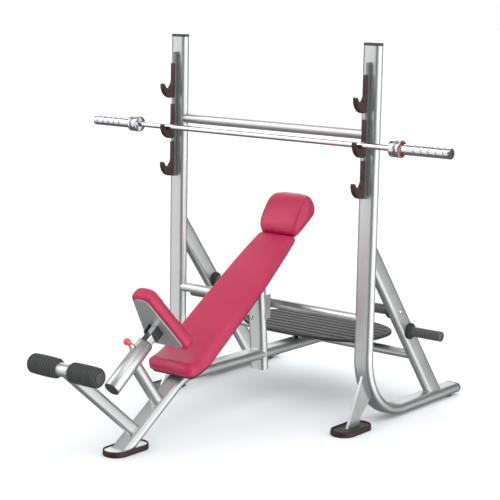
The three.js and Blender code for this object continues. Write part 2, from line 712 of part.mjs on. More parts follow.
const barbell = new THREE.Group();
barbell.position.set(0, ...BAR_AT);
barbell.add(piece('barbell_shaft', 'chrome', rod(BAR_R, -BAR_HALF + 16, BAR_HALF - 16, 18)));
for (const [side, word] of [[-1, 'left'], [1, 'right']]) {
  const sleeve = piece(`${word}_bar_sleeve`, 'chrome', barSleeve());
  sleeve.rotation.y = side > 0 ? 0 : Math.PI;
  barbell.add(sleeve);
}

// ---- the whole machine --------------------------------------------------------------------
const benchBack = new THREE.Group();
benchBack.position.set(0, crease.x, crease.y);
benchBack.rotation.x = BACK_ANGLE;
benchBack.add(
  piece('back_rail', 'board', railAndBracket()),
  piece('headrest', 'vinyl', headrest()));

const rollers = new THREE.Group();
rollers.position.set(0, ...ROLLER_AXLE);
rollers.add(piece('roller_axle', 'frame', rollerAxle()));
for (const [side, word] of [[-1, 'left'], [1, 'right']]) {
  const grip = piece(`${word}_foot_roller`, 'grip', roller());
  grip.rotation.y = side > 0 ? 0 : Math.PI;
  rollers.add(grip);
}

const machine = new THREE.Group();
machine.add(
  sideGroup(-1, 'left'),
  sideGroup(1, 'right'),
  piece('upper_crossbar', 'frame', crossbar(0, UPPER_BAR_Z, bothFrames)),
  piece('lower_crossbar', 'frame', crossbar(0, LOWER_BAR_Z, bothFrames)),
  piece('rear_crossbar', 'frame', crossbar(...REAR_BAR, bothBraces)),
  piece('front_beam_and_leg', 'frame', frontBeamAndLeg()),
  piece('rear_beam', 'frame', rearBeam()),
  piece('front_foot_boot', 'brown', boot(), [0, FRONT_FOOT_Y, 0]),
  piece('backrest_post', 'frame', backrestPost()),
  piece('spotter_platform', 'grip', platform()),
  piece('bench_board', 'board', benchSheet(PADDING + GAP, BOARD_LOW, 18)),
  piece('bench_cushion', 'vinyl', benchSheet(0, PADDING, 0)),
  piece('foot_roller_arm', 'frame', arm()),
  benchBack,
  rollers,
  legSupport,
  barbell);
machine.position.y = -(ROLLER_AXLE[0] - ROLLER_R + SKID_END + GAP + CAP) / 2;

export default machine;
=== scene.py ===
import math

import bpy
import numpy as np
from mathutils import Matrix, Vector, kdtree


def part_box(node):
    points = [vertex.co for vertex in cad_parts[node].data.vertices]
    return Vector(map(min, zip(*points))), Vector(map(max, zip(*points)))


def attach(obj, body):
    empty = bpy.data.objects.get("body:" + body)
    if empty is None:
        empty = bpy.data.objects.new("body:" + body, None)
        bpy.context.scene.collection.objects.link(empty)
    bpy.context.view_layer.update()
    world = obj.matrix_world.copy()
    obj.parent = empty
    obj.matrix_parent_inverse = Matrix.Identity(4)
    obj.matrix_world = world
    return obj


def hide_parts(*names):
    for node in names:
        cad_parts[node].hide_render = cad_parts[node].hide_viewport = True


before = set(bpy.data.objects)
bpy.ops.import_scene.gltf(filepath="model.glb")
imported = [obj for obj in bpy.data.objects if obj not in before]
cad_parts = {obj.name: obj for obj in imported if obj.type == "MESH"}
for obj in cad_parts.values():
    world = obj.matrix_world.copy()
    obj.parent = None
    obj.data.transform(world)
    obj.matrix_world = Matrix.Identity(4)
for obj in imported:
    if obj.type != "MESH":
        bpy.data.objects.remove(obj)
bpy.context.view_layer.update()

scene = bpy.context.scene

# ---- Studio ---------------------------------------------------------------------------------
# A pale matt floor and a white room, lit by soft boxes in the world and one broad lamp. The camera
# stands in front of the right side and looks ten degrees down through a long lens. Lengths are in
# millimetres, with y counted from the plane of the two uprights.
CAMERA_TURN = math.radians(38.4029)
CAMERA_FALL = math.radians(10.0427)
CAMERA_ROLL = math.radians(1.0481)
CAMERA_AT = (4536.9, -5869.4, 2117.3)
CAMERA_LENS = 107.97
rack_low, rack_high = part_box("right_upright_cap")
RACK_X = 500 * (rack_low[0] + rack_high[0])
RACK_Y = 500 * (rack_low[1] + rack_high[1])


def spot(point):
    """A point in millimetres, with y from the plane of the uprights, as a place in the frame."""
    x, y, z = point
    return Vector((x / 1000, (y + RACK_Y) / 1000, z / 1000))


ahead = Vector((-math.sin(CAMERA_TURN) * math.cos(CAMERA_FALL),
                math.cos(CAMERA_TURN) * math.cos(CAMERA_FALL), -math.sin(CAMERA_FALL)))
level = ahead.cross(Vector((0, 0, 1))).normalized()
above = level.cross(ahead)
right = level * math.cos(CAMERA_ROLL) + above * math.sin(CAMERA_ROLL)
up = above * math.cos(CAMERA_ROLL) - level * math.sin(CAMERA_ROLL)
camera_data = bpy.data.cameras.new("camera")
camera_data.lens = CAMERA_LENS
camera_data.sensor_width = 36
camera_data.clip_end = 200
camera = bpy.data.objects.new("camera", camera_data)
scene.collection.objects.link(camera)
facing = Matrix((right, up, -ahead)).transposed().to_4x4()
camera.matrix_world = Matrix.Translation(spot(CAMERA_AT)) @ facing
scene.camera = camera
scene.view_settings.view_transform = "Standard"


class Wire:
    """An output socket that takes part in sums: each sum adds a Math node to its material."""

    def __init__(self, finish, socket):
        self.finish = finish
        self.socket = socket

    def _sum(self, operation, first, second):
        return self.finish.add("ShaderNodeMath", {"operation": operation}, {0: first, 1: second})

    def __add__(self, other):
        return self._sum("ADD", self, other)

    def __radd__(self, other):
        return self._sum("ADD", other, self)

    def __mul__(self, other):
        return self._sum("MULTIPLY", self, other)

    def __rmul__(self, other):
        return self._sum("MULTIPLY", other, self)


class Nodes:
    """A node tree of a material or of the world; add() makes any node in it."""

    def __init__(self, owner):
        owner.use_nodes = True
        self.tree = owner.node_tree

    def add(self, kind, settings=None, inputs=None, out=0):
        node = self.tree.nodes.new(kind)
        for key, value in (settings or {}).items():
            if key == "stops":
                while len(node.color_ramp.elements) < len(value):
                    node.color_ramp.elements.new(0.5)
                for element, (position, tint) in zip(node.color_ramp.elements, value):
                    element.position = position
                    element.color = (tint, tint, tint, 1)
            else:
                setattr(node, key, value)
        for key, value in (inputs or {}).items():
            self.plug(node.inputs[key], value)
        return Wire(self, node.outputs[out])

    def plug(self, socket, value):
        if isinstance(value, Wire):
            self.tree.links.new(value.socket, socket)
        else:
            socket.default_value = value

    def blend(self, factor, first, second):
        """A colour between two colours."""
        first, second = [(*c, 1) if isinstance(c, tuple) else c for c in (first, second)]
        return self.add("ShaderNodeMix", {"data_type": "RGBA"}, {0: factor, 6: first, 7: second}, 2)

    def noise(self, scale, detail=2.0, stretch=None):
        """Smooth noise from 0 to 1 over the piece, with that many features to the metre."""
        where = self.add("ShaderNodeTexCoord", out="Object")
        if stretch:
            where = self.add("ShaderNodeVectorMath", {"operation": "MULTIPLY"}, {0: where, 1: stretch})
        sizes = {"Vector": where, "Scale": scale, "Detail": detail}
        return self.add("ShaderNodeTexNoise", None, sizes, "Fac")

    def cells(self, scale):
        """Distance to the nearest cell's middle, for pebbled grain."""
        where = self.add("ShaderNodeTexCoord", out="Object")
        return self.add("ShaderNodeTexVoronoi", None, {"Vector": where, "Scale": scale}, "Distance")


class Finish(Nodes):
    """A material of the bench, with the record's slot that it stands for."""

    def __init__(self, name, slot, **constants):
        self.material = bpy.data.materials.new(name)
        super().__init__(self.material)
        self.slot = slot
        self.shader = self.tree.nodes["Principled BSDF"]
        self.surface(**constants)

    def surface(self, **inputs):
        for key, value in inputs.items():
            socket = key.replace("_", " ").title().replace("Ior", "IOR")
            self.plug(self.shader.inputs[socket], value)

    def relief(self, height, depth):
        """A bump of that depth in metres, fed to the shader's normal."""
        values = {"Height": height, "Distance": depth, "Strength": 1.0}
        bump = self.add("ShaderNodeBump", None, values)
        self.plug(self.shader.inputs["Normal"], bump)


FLOOR_HALF = 60.0
studio_floor = Finish("studio_floor", None, roughness=0.9)
cloud = studio_floor.noise(0.6)
studio_floor.surface(base_color=studio_floor.blend(cloud, (0.925, 0.955, 0.980), (0.945, 0.970, 0.990)))
floor_corners = [(x * FLOOR_HALF, y * FLOOR_HALF, 0) for x, y in ((-1, -1), (1, -1), (1, 1), (-1, 1))]
floor_mesh = bpy.data.meshes.new("floor")
floor_mesh.from_pydata(floor_corners, [], [(0, 1, 2, 3)])
floor_mesh.materials.append(studio_floor.material)
floor = bpy.data.objects.new("floor", floor_mesh)
scene.collection.objects.link(floor)
floor.visible_glossy = False

# The camera sees plain white behind the machine, matt faces get even light from all round, and
# metal mirrors a dim room with soft boxes: (heading, outer and inner edge as cosines, power).
FLOOR_LEVEL = 0.18
ROOM_LEVEL = 0.13
EVEN_LEVEL = 1.1
SOFT_BOXES = (((0.97, 0.06, -0.10), 0.60, 0.86, 2.3), ((-0.62, -0.78, -0.08), 0.80, 0.97, 1.15),
              ((-0.62, -0.55, 0.52), 0.86, 0.98, 3.2), ((-0.62, 0.62, 0.48), 0.88, 0.98, 1.8),
              ((0.15, -0.25, 0.95), 0.72, 0.93, 0.95))
world = bpy.data.worlds.new("studio")
scene.world = world
room = Nodes(world)
direction = room.add("ShaderNodeTexCoord", out="Generated")
height = room.add("ShaderNodeSeparateXYZ", None, {0: direction}, "Z")
mirrored = room.add("ShaderNodeMapRange", None, {0: height, 1: -0.5, 2: 0.0, 3: FLOOR_LEVEL, 4: ROOM_LEVEL})
for heading, outer, inner, power in SOFT_BOXES:
    toward = tuple(Vector(heading).normalized())
    pair = {0: direction, 1: toward}
    near = room.add("ShaderNodeVectorMath", {"operation": "DOT_PRODUCT"}, pair, "Value")
    mirrored = mirrored + room.add("ShaderNodeMapRange", {"interpolation_type": "SMOOTHSTEP"},
                                   {0: near, 1: outer, 2: inner, 3: 0.0, 4: power})
rays = room.add("ShaderNodeLightPath", out="Is Glossy Ray")
lit = room.add("ShaderNodeMix", {"data_type": "FLOAT"}, {0: rays, 2: EVEN_LEVEL, 3: mirrored})
rays = room.add("ShaderNodeLightPath", out="Is Camera Ray")
shown = room.add("ShaderNodeMix", {"data_type": "FLOAT"}, {0: rays, 2: lit, 3: 1.0})
room.plug(room.tree.nodes["Background"].inputs["Color"], shown)

sun_data = bpy.data.lights.new("key", "SUN")
sun_data.energy = 0.5
sun_data.angle = math.radians(38)
sun = bpy.data.objects.new("key", sun_data)
scene.collection.objects.link(sun)
sun.rotation_euler = Vector((-0.62, 0.30, -1.0)).to_track_quat("-Z", "Y").to_euler()

# ---- Side frames ------------------------------------------------------------------------------
# Each side is one flat-sided oval steel tube, bent at the foot so that upright and floor skid are
# one piece. Satin silver powder coat; moulded caps plug the ends and a rubber pad is under the rear.
SKID_END = 848
SKID_Z = 37
FOOT_BEND = 320
RACK_TOP = 1000 * rack_high[2]
CAP_DEEP = 13
CAP_PAST = 4.3
OVAL_WIDE = 100
OVAL_THIN = 50
SUNK = 0.5

silver_paint = Finish("silver_paint", "frame_paint", metallic=0.85, coat_weight=0.2, coat_roughness=0.15)
flakes = silver_paint.noise(1400, 1.0)
haze = silver_paint.noise(5, 3.0)
silver_paint.surface(
    base_color=silver_paint.blend(flakes * 0.5 + haze * 0.5, (0.44, 0.45, 0.45), (0.60, 0.61, 0.61)),
    roughness=haze * 0.12 + 0.33)
silver_paint.relief(silver_paint.noise(420, 1.0), 0.00012)


def grained(name, slot, noise, dark, light, swing, rough, depth=0.0, **constants):
    """A finish whose colour, roughness and relief in metres all follow one noise."""
    finish = Finish(name, slot, **constants)
    grain = finish.noise(*noise)
    finish.surface(base_color=finish.blend(grain, dark, light), roughness=grain * swing + rough)
    if depth:
        finish.relief(grain, depth)
    return finish


cap_plastic = grained("cap_plastic", "cap_plastic", (900, 2.0), (0.03, 0.033, 0.03), (0.065, 0.068, 0.065),
                      swing=0.2, rough=0.45, depth=0.0002)
black_rubber = grained("black_rubber", "black_rubber", (700, 3.0), (0.008, 0.008, 0.008), (0.03, 0.03, 0.03),
                       swing=0.2, rough=0.55, depth=0.0002)


def oval(wide, high, steps=14):
    """Corners of a flat-sided oval, or of a circle where both sides are equal."""
    radius = min(wide, high) / 2
    reach = abs(wide - high) / 2
    corners = []
    for middle, start in ((reach, -90), (-reach, 90)):
        for k in range(steps + 1):
            angle = math.radians(start + 180 * k / steps)
            corners.append((middle + radius * math.cos(angle), radius * math.sin(angle)))
    if wide < high:
        corners = [(-v, u) for u, v in corners]
    return corners


def stations(corners, bend, turns):
    """Points and headings along a path that turns with one bend radius."""
    points = [Vector(c) for c in corners]
    found = [(points[0], (points[1] - points[0]).normalized())]
    for before, at, after in zip(points, points[1:], points[2:]):
        entry = (at - before).normalized()
        leave = (after - at).normalized()
        angle = entry.angle(leave)
        side = (leave - entry * entry.dot(leave)).normalized()
        start = at - entry * (bend * math.tan(angle / 2))
        for k in range(turns + 1):
            turn = angle * k / turns
            place = start + entry * (bend * math.sin(turn)) + side * (bend * (1 - math.cos(turn)))
            found.append((place, entry * math.cos(turn) + side * math.sin(turn)))
    found.append((points[-1], (points[-1] - points[-2]).normalized()))
    return found


def coped(ring, heading, seat):
    """Slides a ring along its tube until it lies on another tube: (middle, normal, flat, radius)."""
    middle, normal, flat, radius = Vector(seat[0]), Vector(seat[1]).normalized(), seat[2], seat[3]
    landed = []
    for corner in ring:
        off = max(0.0, abs(corner.x - middle.x) - flat)
        out = math.sqrt(max(0.0, radius * radius - off * off)) if radius else 0.0
        travel = (middle + normal * out - corner).dot(normal) / heading.dot(normal)
        landed.append(corner + heading * travel)
    return landed


def on_oval(middle, normal, sunk=0.0):
    """The seat for coped() on an oval tube through middle, whose flat side faces along normal."""
    return middle, normal, (OVAL_WIDE - OVAL_THIN) / 2, OVAL_THIN / 2 - sunk


def strip(rings, closed=False):
    """Quads between successive rings, with a face over each end unless the rings close up."""
    count = len(rings[0])
    pairs = len(rings) if closed else len(rings) - 1
    faces = []
    for i in range(pairs):
        a, b = i * count, (i + 1) % len(rings) * count
        faces += [(a + k, a + (k + 1) % count, b + (k + 1) % count, b + k) for k in range(count)]
    if not closed:
        last = (len(rings) - 1) * count
        faces += [tuple(reversed(range(count))), tuple(range(last, last + count))]
    return [corner for ring in rings for corner in ring], faces


def made(name, shape, finish, body="frame", replaces=(), edge=0.0, sharp=38):
    """A piece from its corners and faces, smooth but for its real edges, riding on its body."""
    corners, faces = shape
    mesh = bpy.data.meshes.new(name)
    mesh.from_pydata([spot(c) for c in corners], [], faces)
    mesh.materials.append(finish.material)
    piece = bpy.data.objects.new(name, mesh)
    scene.collection.objects.link(piece)
    dressed(piece, edge, sharp)
    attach(piece, body)
    if replaces:
        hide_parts(*replaces)
    return piece


def dressed(piece, edge, sharp=38):
    """Faces point out, curved runs shade smoothly, and true edges get a small round."""
    mesh = piece.data
    signed = 0.0
    for polygon in mesh.polygons:
        signed += polygon.center.dot(polygon.normal) * polygon.area
    if signed < 0:
        mesh.flip_normals()
    mesh.shade_smooth()
    mesh.set_sharp_from_angle(angle=math.radians(sharp))
    if edge:
        bevel = piece.modifiers.new("edge", "BEVEL")
        bevel.width = edge / 1000
        bevel.segments = 3
        bevel.limit_method = "ANGLE"
        bevel.angle_limit = math.radians(sharp)
        bevel.harden_normals = True


def tube(corners, section, bend=0, turns=20, start=None, end=None, hollow=None):
    """A tube's rings along its path; hollow is the inner section of an open far end."""
    rings = []
    run = stations(corners, bend, turns)
    for place, heading in run:
        side = heading.cross(Vector((1, 0, 0)))
        rings.append([place + Vector((u, 0, 0)) + side * v for u, v in section])
    if start:
        rings[0] = coped(rings[0], run[0][1], start)
    if end:
        rings[-1] = coped(rings[-1], run[-1][1], end)
    if hollow:
        place, heading = run[-1]
        side = heading.cross(Vector((1, 0, 0)))
        for depth in (0, 30):
            rings.append([place - heading * depth + Vector((u, 0, 0)) + side * v for u, v in hollow])
    return strip(rings)


def bead(ring, radius=2.2):
    """A weld bead with a light ripple along a closed line."""
    count = len(ring)
    rings = []
    for k, corner in enumerate(ring):
        along = (ring[(k + 1) % count] - ring[k - 1]).normalized()
        out = along.orthogonal().normalized()
        other = along.cross(out)
        swell = radius * (1 + 0.12 * math.sin(k * 2.4))
        rings.append([corner + (out * math.cos(t) + other * math.sin(t)) * swell
                      for t in (math.tau * j / 8 for j in range(8))])
    return rings


def evenly(ring, step):
    """The same closed line with a corner about every step along it."""
    dense = []
    for a, b in zip(ring, ring[1:] + ring[:1]):
        parts = max(1, round((b - a).length / step))
        dense += [a.lerp(b, k / parts) for k in range(parts)]
    return dense


def untwisted(rings):
    """Turns each ring's start so that neighbours line up."""
    lined = [rings[0]]
    for ring in rings[1:]:
        count = len(ring)
        shift = min(range(count), key=lambda s: (ring[s] - lined[-1][0]).length)
        same_way = [ring[(s + shift) % count] for s in range(count)]
        other_way = [ring[(shift - s) % count] for s in range(count)]
        same = sum((a - b).length for a, b in zip(same_way, lined[-1]))
        mirrored = sum((a - b).length for a, b in zip(other_way, lined[-1]))
        lined.append(same_way if same <= mirrored else other_way)
    return lined


def weld(name, corners, section, start=None, end=None):
    """The bead where a straight tube lands on another, at whichever end is given."""
    first, last = Vector(corners[0]), Vector(corners[-1])
    heading = (last - first).normalized()
    side = heading.cross(Vector((1, 0, 0)))
    origin, seat = (first, start) if start else (last, end)
    ring = coped([origin + Vector((u, 0, 0)) + side * v for u, v in section], heading, seat)
    return made(name, strip(untwisted(bead(evenly(ring, 3))), closed=True), silver_paint)


def prism(outline, low, high, axes=Matrix.Identity(4)):
    """A plate of that outline between two heights of its own frame."""
    rings = [[axes @ Vector((u, v, h)) for u, v in outline] for h in (low, high)]
    return strip(rings)


SIDES = ((-1, "left"), (1, "right"))
flat_oval = oval(OVAL_WIDE, OVAL_THIN)
cap_oval = oval(OVAL_WIDE + 1, OVAL_THIN + 1)
for side, word in SIDES:
    x = side * RACK_X
    tube_top = RACK_TOP - CAP_DEEP
    cap_end = SKID_END + CAP_PAST
    made(f"{word}_side_tube",
         tube([(x, 0, tube_top), (x, 0, SKID_Z), (x, cap_end - CAP_DEEP, SKID_Z)], flat_oval,
              bend=FOOT_BEND, turns=40),
         silver_paint, replaces=[f"{word}_upright_and_skid"])
    made(f"{word}_top_cap", prism(cap_oval, 0, CAP_DEEP, Matrix.Translation((x, 0, tube_top))),
         cap_plastic, replaces=[f"{word}_upright_cap"], edge=3)
    onto_end = Matrix.Translation((x, cap_end, SKID_Z)) @ Matrix.Rotation(math.pi / 2, 4, "X")
    made(f"{word}_rear_cap", prism(cap_oval, 0, CAP_DEEP, onto_end),
         cap_plastic, replaces=[f"{word}_skid_cap"], edge=3)
    under = Matrix.Translation((x, SKID_END - 58, 0))
    made(f"{word}_rear_pad", prism(oval(56, 48), 0, SKID_Z - OVAL_THIN / 2, under),
         black_rubber, replaces=[f"{word}_skid_pad"], edge=2.5)

# ---- Braces -----------------------------------------------------------------------------------
# A length of the same oval tube, turned on edge, runs from the back of each upright down to its
# skid. Both ends are saw-cut to the tube that they meet and welded all round.
BRACE_TOP = (25, 860)
BRACE_FOOT = (642, 62)
upright_oval = oval(OVAL_THIN, OVAL_WIDE)
for side, word in SIDES:
    x = side * RACK_X
    run = [(x, *BRACE_TOP), (x, *BRACE_FOOT)]
    upright = ((x, 0, 0), (0, 1, 0))
    skid = ((x, 0, SKID_Z), (0, 0, 1))
    made(f"{word}_brace_tube",
         tube(run, upright_oval, start=on_oval(*upright, SUNK), end=on_oval(*skid, SUNK)),
         silver_paint, replaces=[f"{word}_brace"])
    weld(f"{word}_brace_top_weld", run, upright_oval, start=on_oval(*upright))
    weld(f"{word}_brace_foot_weld", run, upright_oval, end=on_oval(*skid))

# ---- Feet -------------------------------------------------------------------------------------
# An oval steel plate sits in a moulded brown rubber boot under each side and under the front leg.
# At the sides a gusset plate, welded to the bend of the tube, comes down on to the plate.
SIDE_FOOT_Y = -90
FRONT_FOOT_Y = -1035
BOOT_SOLE = 13
PLATE_TOP = BOOT_SOLE + 9
GUSSET = ((-128, 21), (-22, 21), (-22, 58), (62, 136), (78, 150), (16, 262), (-8, 268))

dark_bracket = grained("dark_bracket", "bracket_paint", (900, 2.0), (0.02, 0.02, 0.02), (0.05, 0.05, 0.05),
                       swing=0.2, rough=0.38, depth=0.00015, metallic=0.3)

brown_rubber = Finish("brown_rubber", "brown_rubber", specular_ior_level=0.35)
speckle = brown_rubber.noise(520, 4.0)
cloud = brown_rubber.noise(22, 2.0)
brown_rubber.surface(base_color=brown_rubber.blend(speckle * 0.7 + cloud * 0.3, (0.010, 0.004, 0.004),
                                                   (0.052, 0.020, 0.020)),
                     roughness=speckle * 0.25 + 0.38)
brown_rubber.relief(speckle, 0.00035)


def boot(name, x, y, node):
    """A sole with a raised lip all round, dished for the foot plate."""
    rings = []
    for wide, long, height in ((121, 246, 0), (125, 250, 3), (125, 250, 22), (122, 247, 26.5),
                               (118, 243, 28), (115, 240, 26.5), (113, 237, 23), (112.8, 236.8, 13.2)):
        rings.append([Vector((x + u, y + v, height)) for u, v in oval(wide, long, 24)])
    made(name, strip(rings), brown_rubber, replaces=[node], sharp=50)


def foot_plate(name, x, y, finish):
    """The steel plate that lies in a boot."""
    outline = oval(112, 236, 24)
    plate = prism(outline, BOOT_SOLE + 0.3, PLATE_TOP + 0.3, Matrix.Translation((x, y, 0)))
    made(name, plate, finish, edge=1.2)


def edgewise(x):
    """Axes for a plate on edge at x, whose outline is given in y and z."""
    return Matrix.Translation((x, 0, 0)) @ Matrix(((0, 0, 1, 0), (1, 0, 0, 0), (0, 1, 0, 0), (0, 0, 0, 1)))


for side, word in SIDES:
    x = side * RACK_X
    boot(f"{word}_boot", x, SIDE_FOOT_Y, f"{word}_foot_boot")
    foot_plate(f"{word}_foot_plate", x, SIDE_FOOT_Y, dark_bracket)
    made(f"{word}_gusset", prism(GUSSET, -7, 7, edgewise(x)), silver_paint,
         replaces=[f"{word}_foot_bracket"], edge=1.5)
boot("front_boot", 0, FRONT_FOOT_Y, "front_foot_boot")
foot_plate("front_foot_plate", 0, FRONT_FOOT_Y, silver_paint)

# ---- Bar hooks --------------------------------------------------------------------------------
# A steel rail runs down the front of each upright and carries three arms. A fat rubber hook is
# pushed over each arm and up the rail, so that the bar never meets steel.
HOOK_STEPS = (("top", 1583), ("middle", 1374.7), ("low", 1181))
BAR_Y = -99

hook_steel = grained("hook_steel", "hook_steel", (700, 2.0), (0.17, 0.175, 0.175), (0.27, 0.28, 0.28),
                     swing=0.2, rough=0.3, depth=0.0001, metallic=0.5)


def curve(start, bends, steps=8):
    """Corners along a line of quadratic curves: (control, end) for each."""
    corners = [start]
    for control, end in bends:
        a = corners[-1]
        for k in range(1, steps + 1):
            t = k / steps
            corners.append(tuple((1 - t) ** 2 * p + 2 * t * (1 - t) * q + t * t * r
                                 for p, q, r in zip(a, control, end)))
    return corners


def repainted(node, finish, edge):
    """A CAD piece shown as it is, in its finish, with its edges broken by edge in metres."""
    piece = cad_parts[node]
    piece.data.materials.clear()
    piece.data.materials.append(finish.material)
    bevel = piece.modifiers.new("edge", "BEVEL")
    bevel.width = edge
    bevel.segments = 2
    bevel.limit_method = "ANGLE"


hook = curve((-62, 42), [((-64, 26), (BAR_Y + 19, 8)), ((BAR_Y + 8, 0), (BAR_Y, 0)),
                         ((BAR_Y - 10, 0), (BAR_Y - 18, 8)), ((BAR_Y - 24, 16), (BAR_Y - 32, 27)),
                         ((BAR_Y - 37, 32), (BAR_Y - 42, 22)), ((BAR_Y - 42, -2), (BAR_Y - 29, -20)),
                         ((BAR_Y - 12, -42), (BAR_Y + 16, -47))])
hook += [(-56, -46), (-52, -41), (-52, 126), (-55, 130), (-59, 130), (-62, 126)]
for side, word in SIDES:
    for place, height in HOOK_STEPS:
        raised = [(y, z + height) for y, z in hook]
        made(f"{word}_{place}_rubber_hook", prism(raised, -12, 12, edgewise(side * RACK_X)),
             brown_rubber, replaces=[f"{word}_{place}_hook_liner"], edge=3.5, sharp=45)
    repainted(f"{word}_hook_rail", hook_steel, 0.0012)

# ---- Plate horns ------------------------------------------------------------------------------
# Two horns on each brace store the weight plates: a grey plastic sleeve over a steel stub, pushed
# up to a thick rubber stop ring, with a flush end plug.
HORNS = (("outer", 365, 425), ("inner", 276, 537))
HORN_END = 211.3
HORN = ((24, 25), (HORN_END - 3, 25), (HORN_END - 1, 24.2), (HORN_END, 23), (HORN_END, 21.6),
        (HORN_END - 1.6, 21.2), (HORN_END - 1.6, 19.5), (HORN_END - 0.4, 18.5), (HORN_END - 0.2, 6),
        (HORN_END - 2.4, 5.4))
STOP_RING = ((24.5, 25.3), (24.5, 40), (26, 41), (33, 41), (37, 39.8), (41, 36), (43.5, 31.5),
             (44.3, 27.5), (44.3, 25.3))

horn_plastic = Finish("horn_plastic", "horn_plastic")
grain = horn_plastic.noise(800, 2.0)
scuff = horn_plastic.noise(30, 4.0, (0.15, 1, 1))
horn_plastic.surface(base_color=horn_plastic.blend(scuff, (0.05, 0.052, 0.052), (0.10, 0.102, 0.102)),
                     roughness=scuff * 0.25 + 0.25)
horn_plastic.relief(grain, 0.00012)


def turned(profile, axes, segments=56, closed=False):
    """A turned piece about its frame's z axis, from its (along, radius) profile."""
    rings = []
    for along, radius in profile:
        rings.append([axes @ Vector((radius * math.cos(t), radius * math.sin(t), along))
                      for t in (math.tau * k / segments for k in range(segments))])
    return strip(rings, closed)


bolt_zinc = grained("bolt_zinc", "chrome", (120, 2.0), (0.55, 0.56, 0.56), (0.75, 0.75, 0.74),
                    swing=0.2, rough=0.2, metallic=1.0)
BUTTON_HEAD = [(24.4, 7), (24.4, 10.5), (25.4, 11), (27, 10.6), (29, 9), (30.3, 6.5), (30.9, 4.2),
               (29.2, 3.8), (28.4, 0.6)]
for side, word in SIDES:
    for place, y, z in HORNS:
        facing = side if place == "outer" else -side
        out = Matrix.Translation((side * RACK_X, y, z)) @ Matrix.Rotation(facing * math.pi / 2, 4, "Y")
        made(f"{word}_{place}_horn_sleeve", turned(HORN, out), horn_plastic,
             replaces=[f"{word}_{place}_horn"], sharp=60)
        made(f"{word}_{place}_stop_ring", turned(STOP_RING, out, closed=True), black_rubber,
             replaces=[f"{word}_{place}_horn_ring"], sharp=70)
        made(f"{word}_{place}_horn_bolt", turned(BUTTON_HEAD, out @ Matrix.Rotation(math.pi, 4, "Y")),
             bolt_zinc, sharp=50)

# ---- Crossbars --------------------------------------------------------------------------------
# Three round steel tubes tie the two side frames: behind the hooks, behind the bench and low at
# the rear. Each is cut to the tube that it meets and welded round.
UPPER_BAR_Z = 1430
LOWER_BAR_Z = 540
REAR_BAR = (478, 275)
BAR_RADIUS = 24


def crossbar(name, y, z, reach, node):
    """A round tube across the machine, whose ends land at reach(y offset) from the middle."""
    count = 56
    rings = []
    for side in (-1, 1):
        ring = []
        for k in range(count):
            angle = math.tau * k / count
            v = BAR_RADIUS * math.cos(angle)
            ring.append(Vector((side * reach(v), y + v, z + BAR_RADIUS * math.sin(angle))))
        rings.append(ring)
        made(f"{node}_{'left' if side < 0 else 'right'}_weld",
             strip(untwisted(bead(evenly(ring, 3))), closed=True), silver_paint)
    made(name, strip(rings), silver_paint, replaces=[node])


def to_upright(v):
    return RACK_X - 25 - math.sqrt(25 * 25 - v * v)


crossbar("upper_tie_bar", 0, UPPER_BAR_Z, to_upright, "upper_crossbar")
crossbar("lower_tie_bar", 0, LOWER_BAR_Z, to_upright, "lower_crossbar")
crossbar("rear_tie_bar", *REAR_BAR, lambda v: RACK_X - 25, "rear_crossbar")

# ---- Beam, front leg and post -----------------------------------------------------------------
# The centre beam is the same oval tube lying flat; its front end bends down into the front leg.
# It is cut through by the leaning post that carries the backrest, and goes on to the rear bar.
BEAM_Z = 285
KNEE_Y = -668
POST_FOOT = (-51, 206)
POST_HEAD = (-93, 700)
post_lean = Vector((0, POST_HEAD[0] - POST_FOOT[0], POST_HEAD[1] - POST_FOOT[1])).normalized()
post_face = Vector((0, post_lean.z, -post_lean.y))
hollow_oval = oval(OVAL_WIDE - 8, OVAL_THIN - 8)
leg_foot = (0, FRONT_FOOT_Y - 10, 26)
on_plate = ((0, 0, PLATE_TOP + 0.2), (0, 0, 1), 0, 0)
front_of_post = ((0, *POST_FOOT), -post_face)
back_of_post = ((0, *POST_FOOT), post_face)
made("front_beam_tube",
     tube([leg_foot, (0, KNEE_Y, BEAM_Z), (0, -62, BEAM_Z)], flat_oval, bend=200, start=on_plate,
          end=on_oval(*front_of_post, SUNK)),
     silver_paint, replaces=["front_beam_and_leg"])
weld("front_leg_weld", [leg_foot, (0, KNEE_Y, BEAM_Z)], flat_oval,
     start=((0, 0, PLATE_TOP + 0.6), (0, 0, 1), 0, 0))
weld("front_beam_weld", [(0, KNEE_Y, BEAM_Z), (0, -62, BEAM_Z)], flat_oval, end=on_oval(*front_of_post))
made("rear_beam_tube",
     tube([(0, -60, BEAM_Z), (0, REAR_BAR[0] - 12, BEAM_Z)], flat_oval,
          start=on_oval(*back_of_post, SUNK)),
     silver_paint, replaces=["rear_beam"])
weld("rear_beam_weld", [(0, -60, BEAM_Z), (0, 460, BEAM_Z)], flat_oval, start=on_oval(*back_of_post))
made("bench_post", tube([(0, *POST_HEAD), (0, *POST_FOOT)], flat_oval, hollow=hollow_oval),
     silver_paint, replaces=["backrest_post"])
post_front = (-post_face).to_track_quat("Z", "Y").to_matrix().to_4x4()
made("post_bolt", turned(BUTTON_HEAD, Matrix.Translation((-16, -74, 474)) @ post_front), bolt_zinc, sharp=50)
saddle_plates = (("saddle_block", (0, -38, LOWER_BAR_Z - 4), (52, 40, 74)),
                 ("saddle_cheek", (45, -58, LOWER_BAR_Z - 10), (9, 52, 124)),
                 ("saddle_web", (22, -44, LOWER_BAR_Z - 4), (50, 8, 74)),
                 ("platform_mount_plate", (0, 330, 344), (300, 150, 5)),
                 ("platform_left_cheek", (-18, 330, 327), (8, 150, 38)),
                 ("platform_right_cheek", (18, 330, 327), (8, 150, 38)))


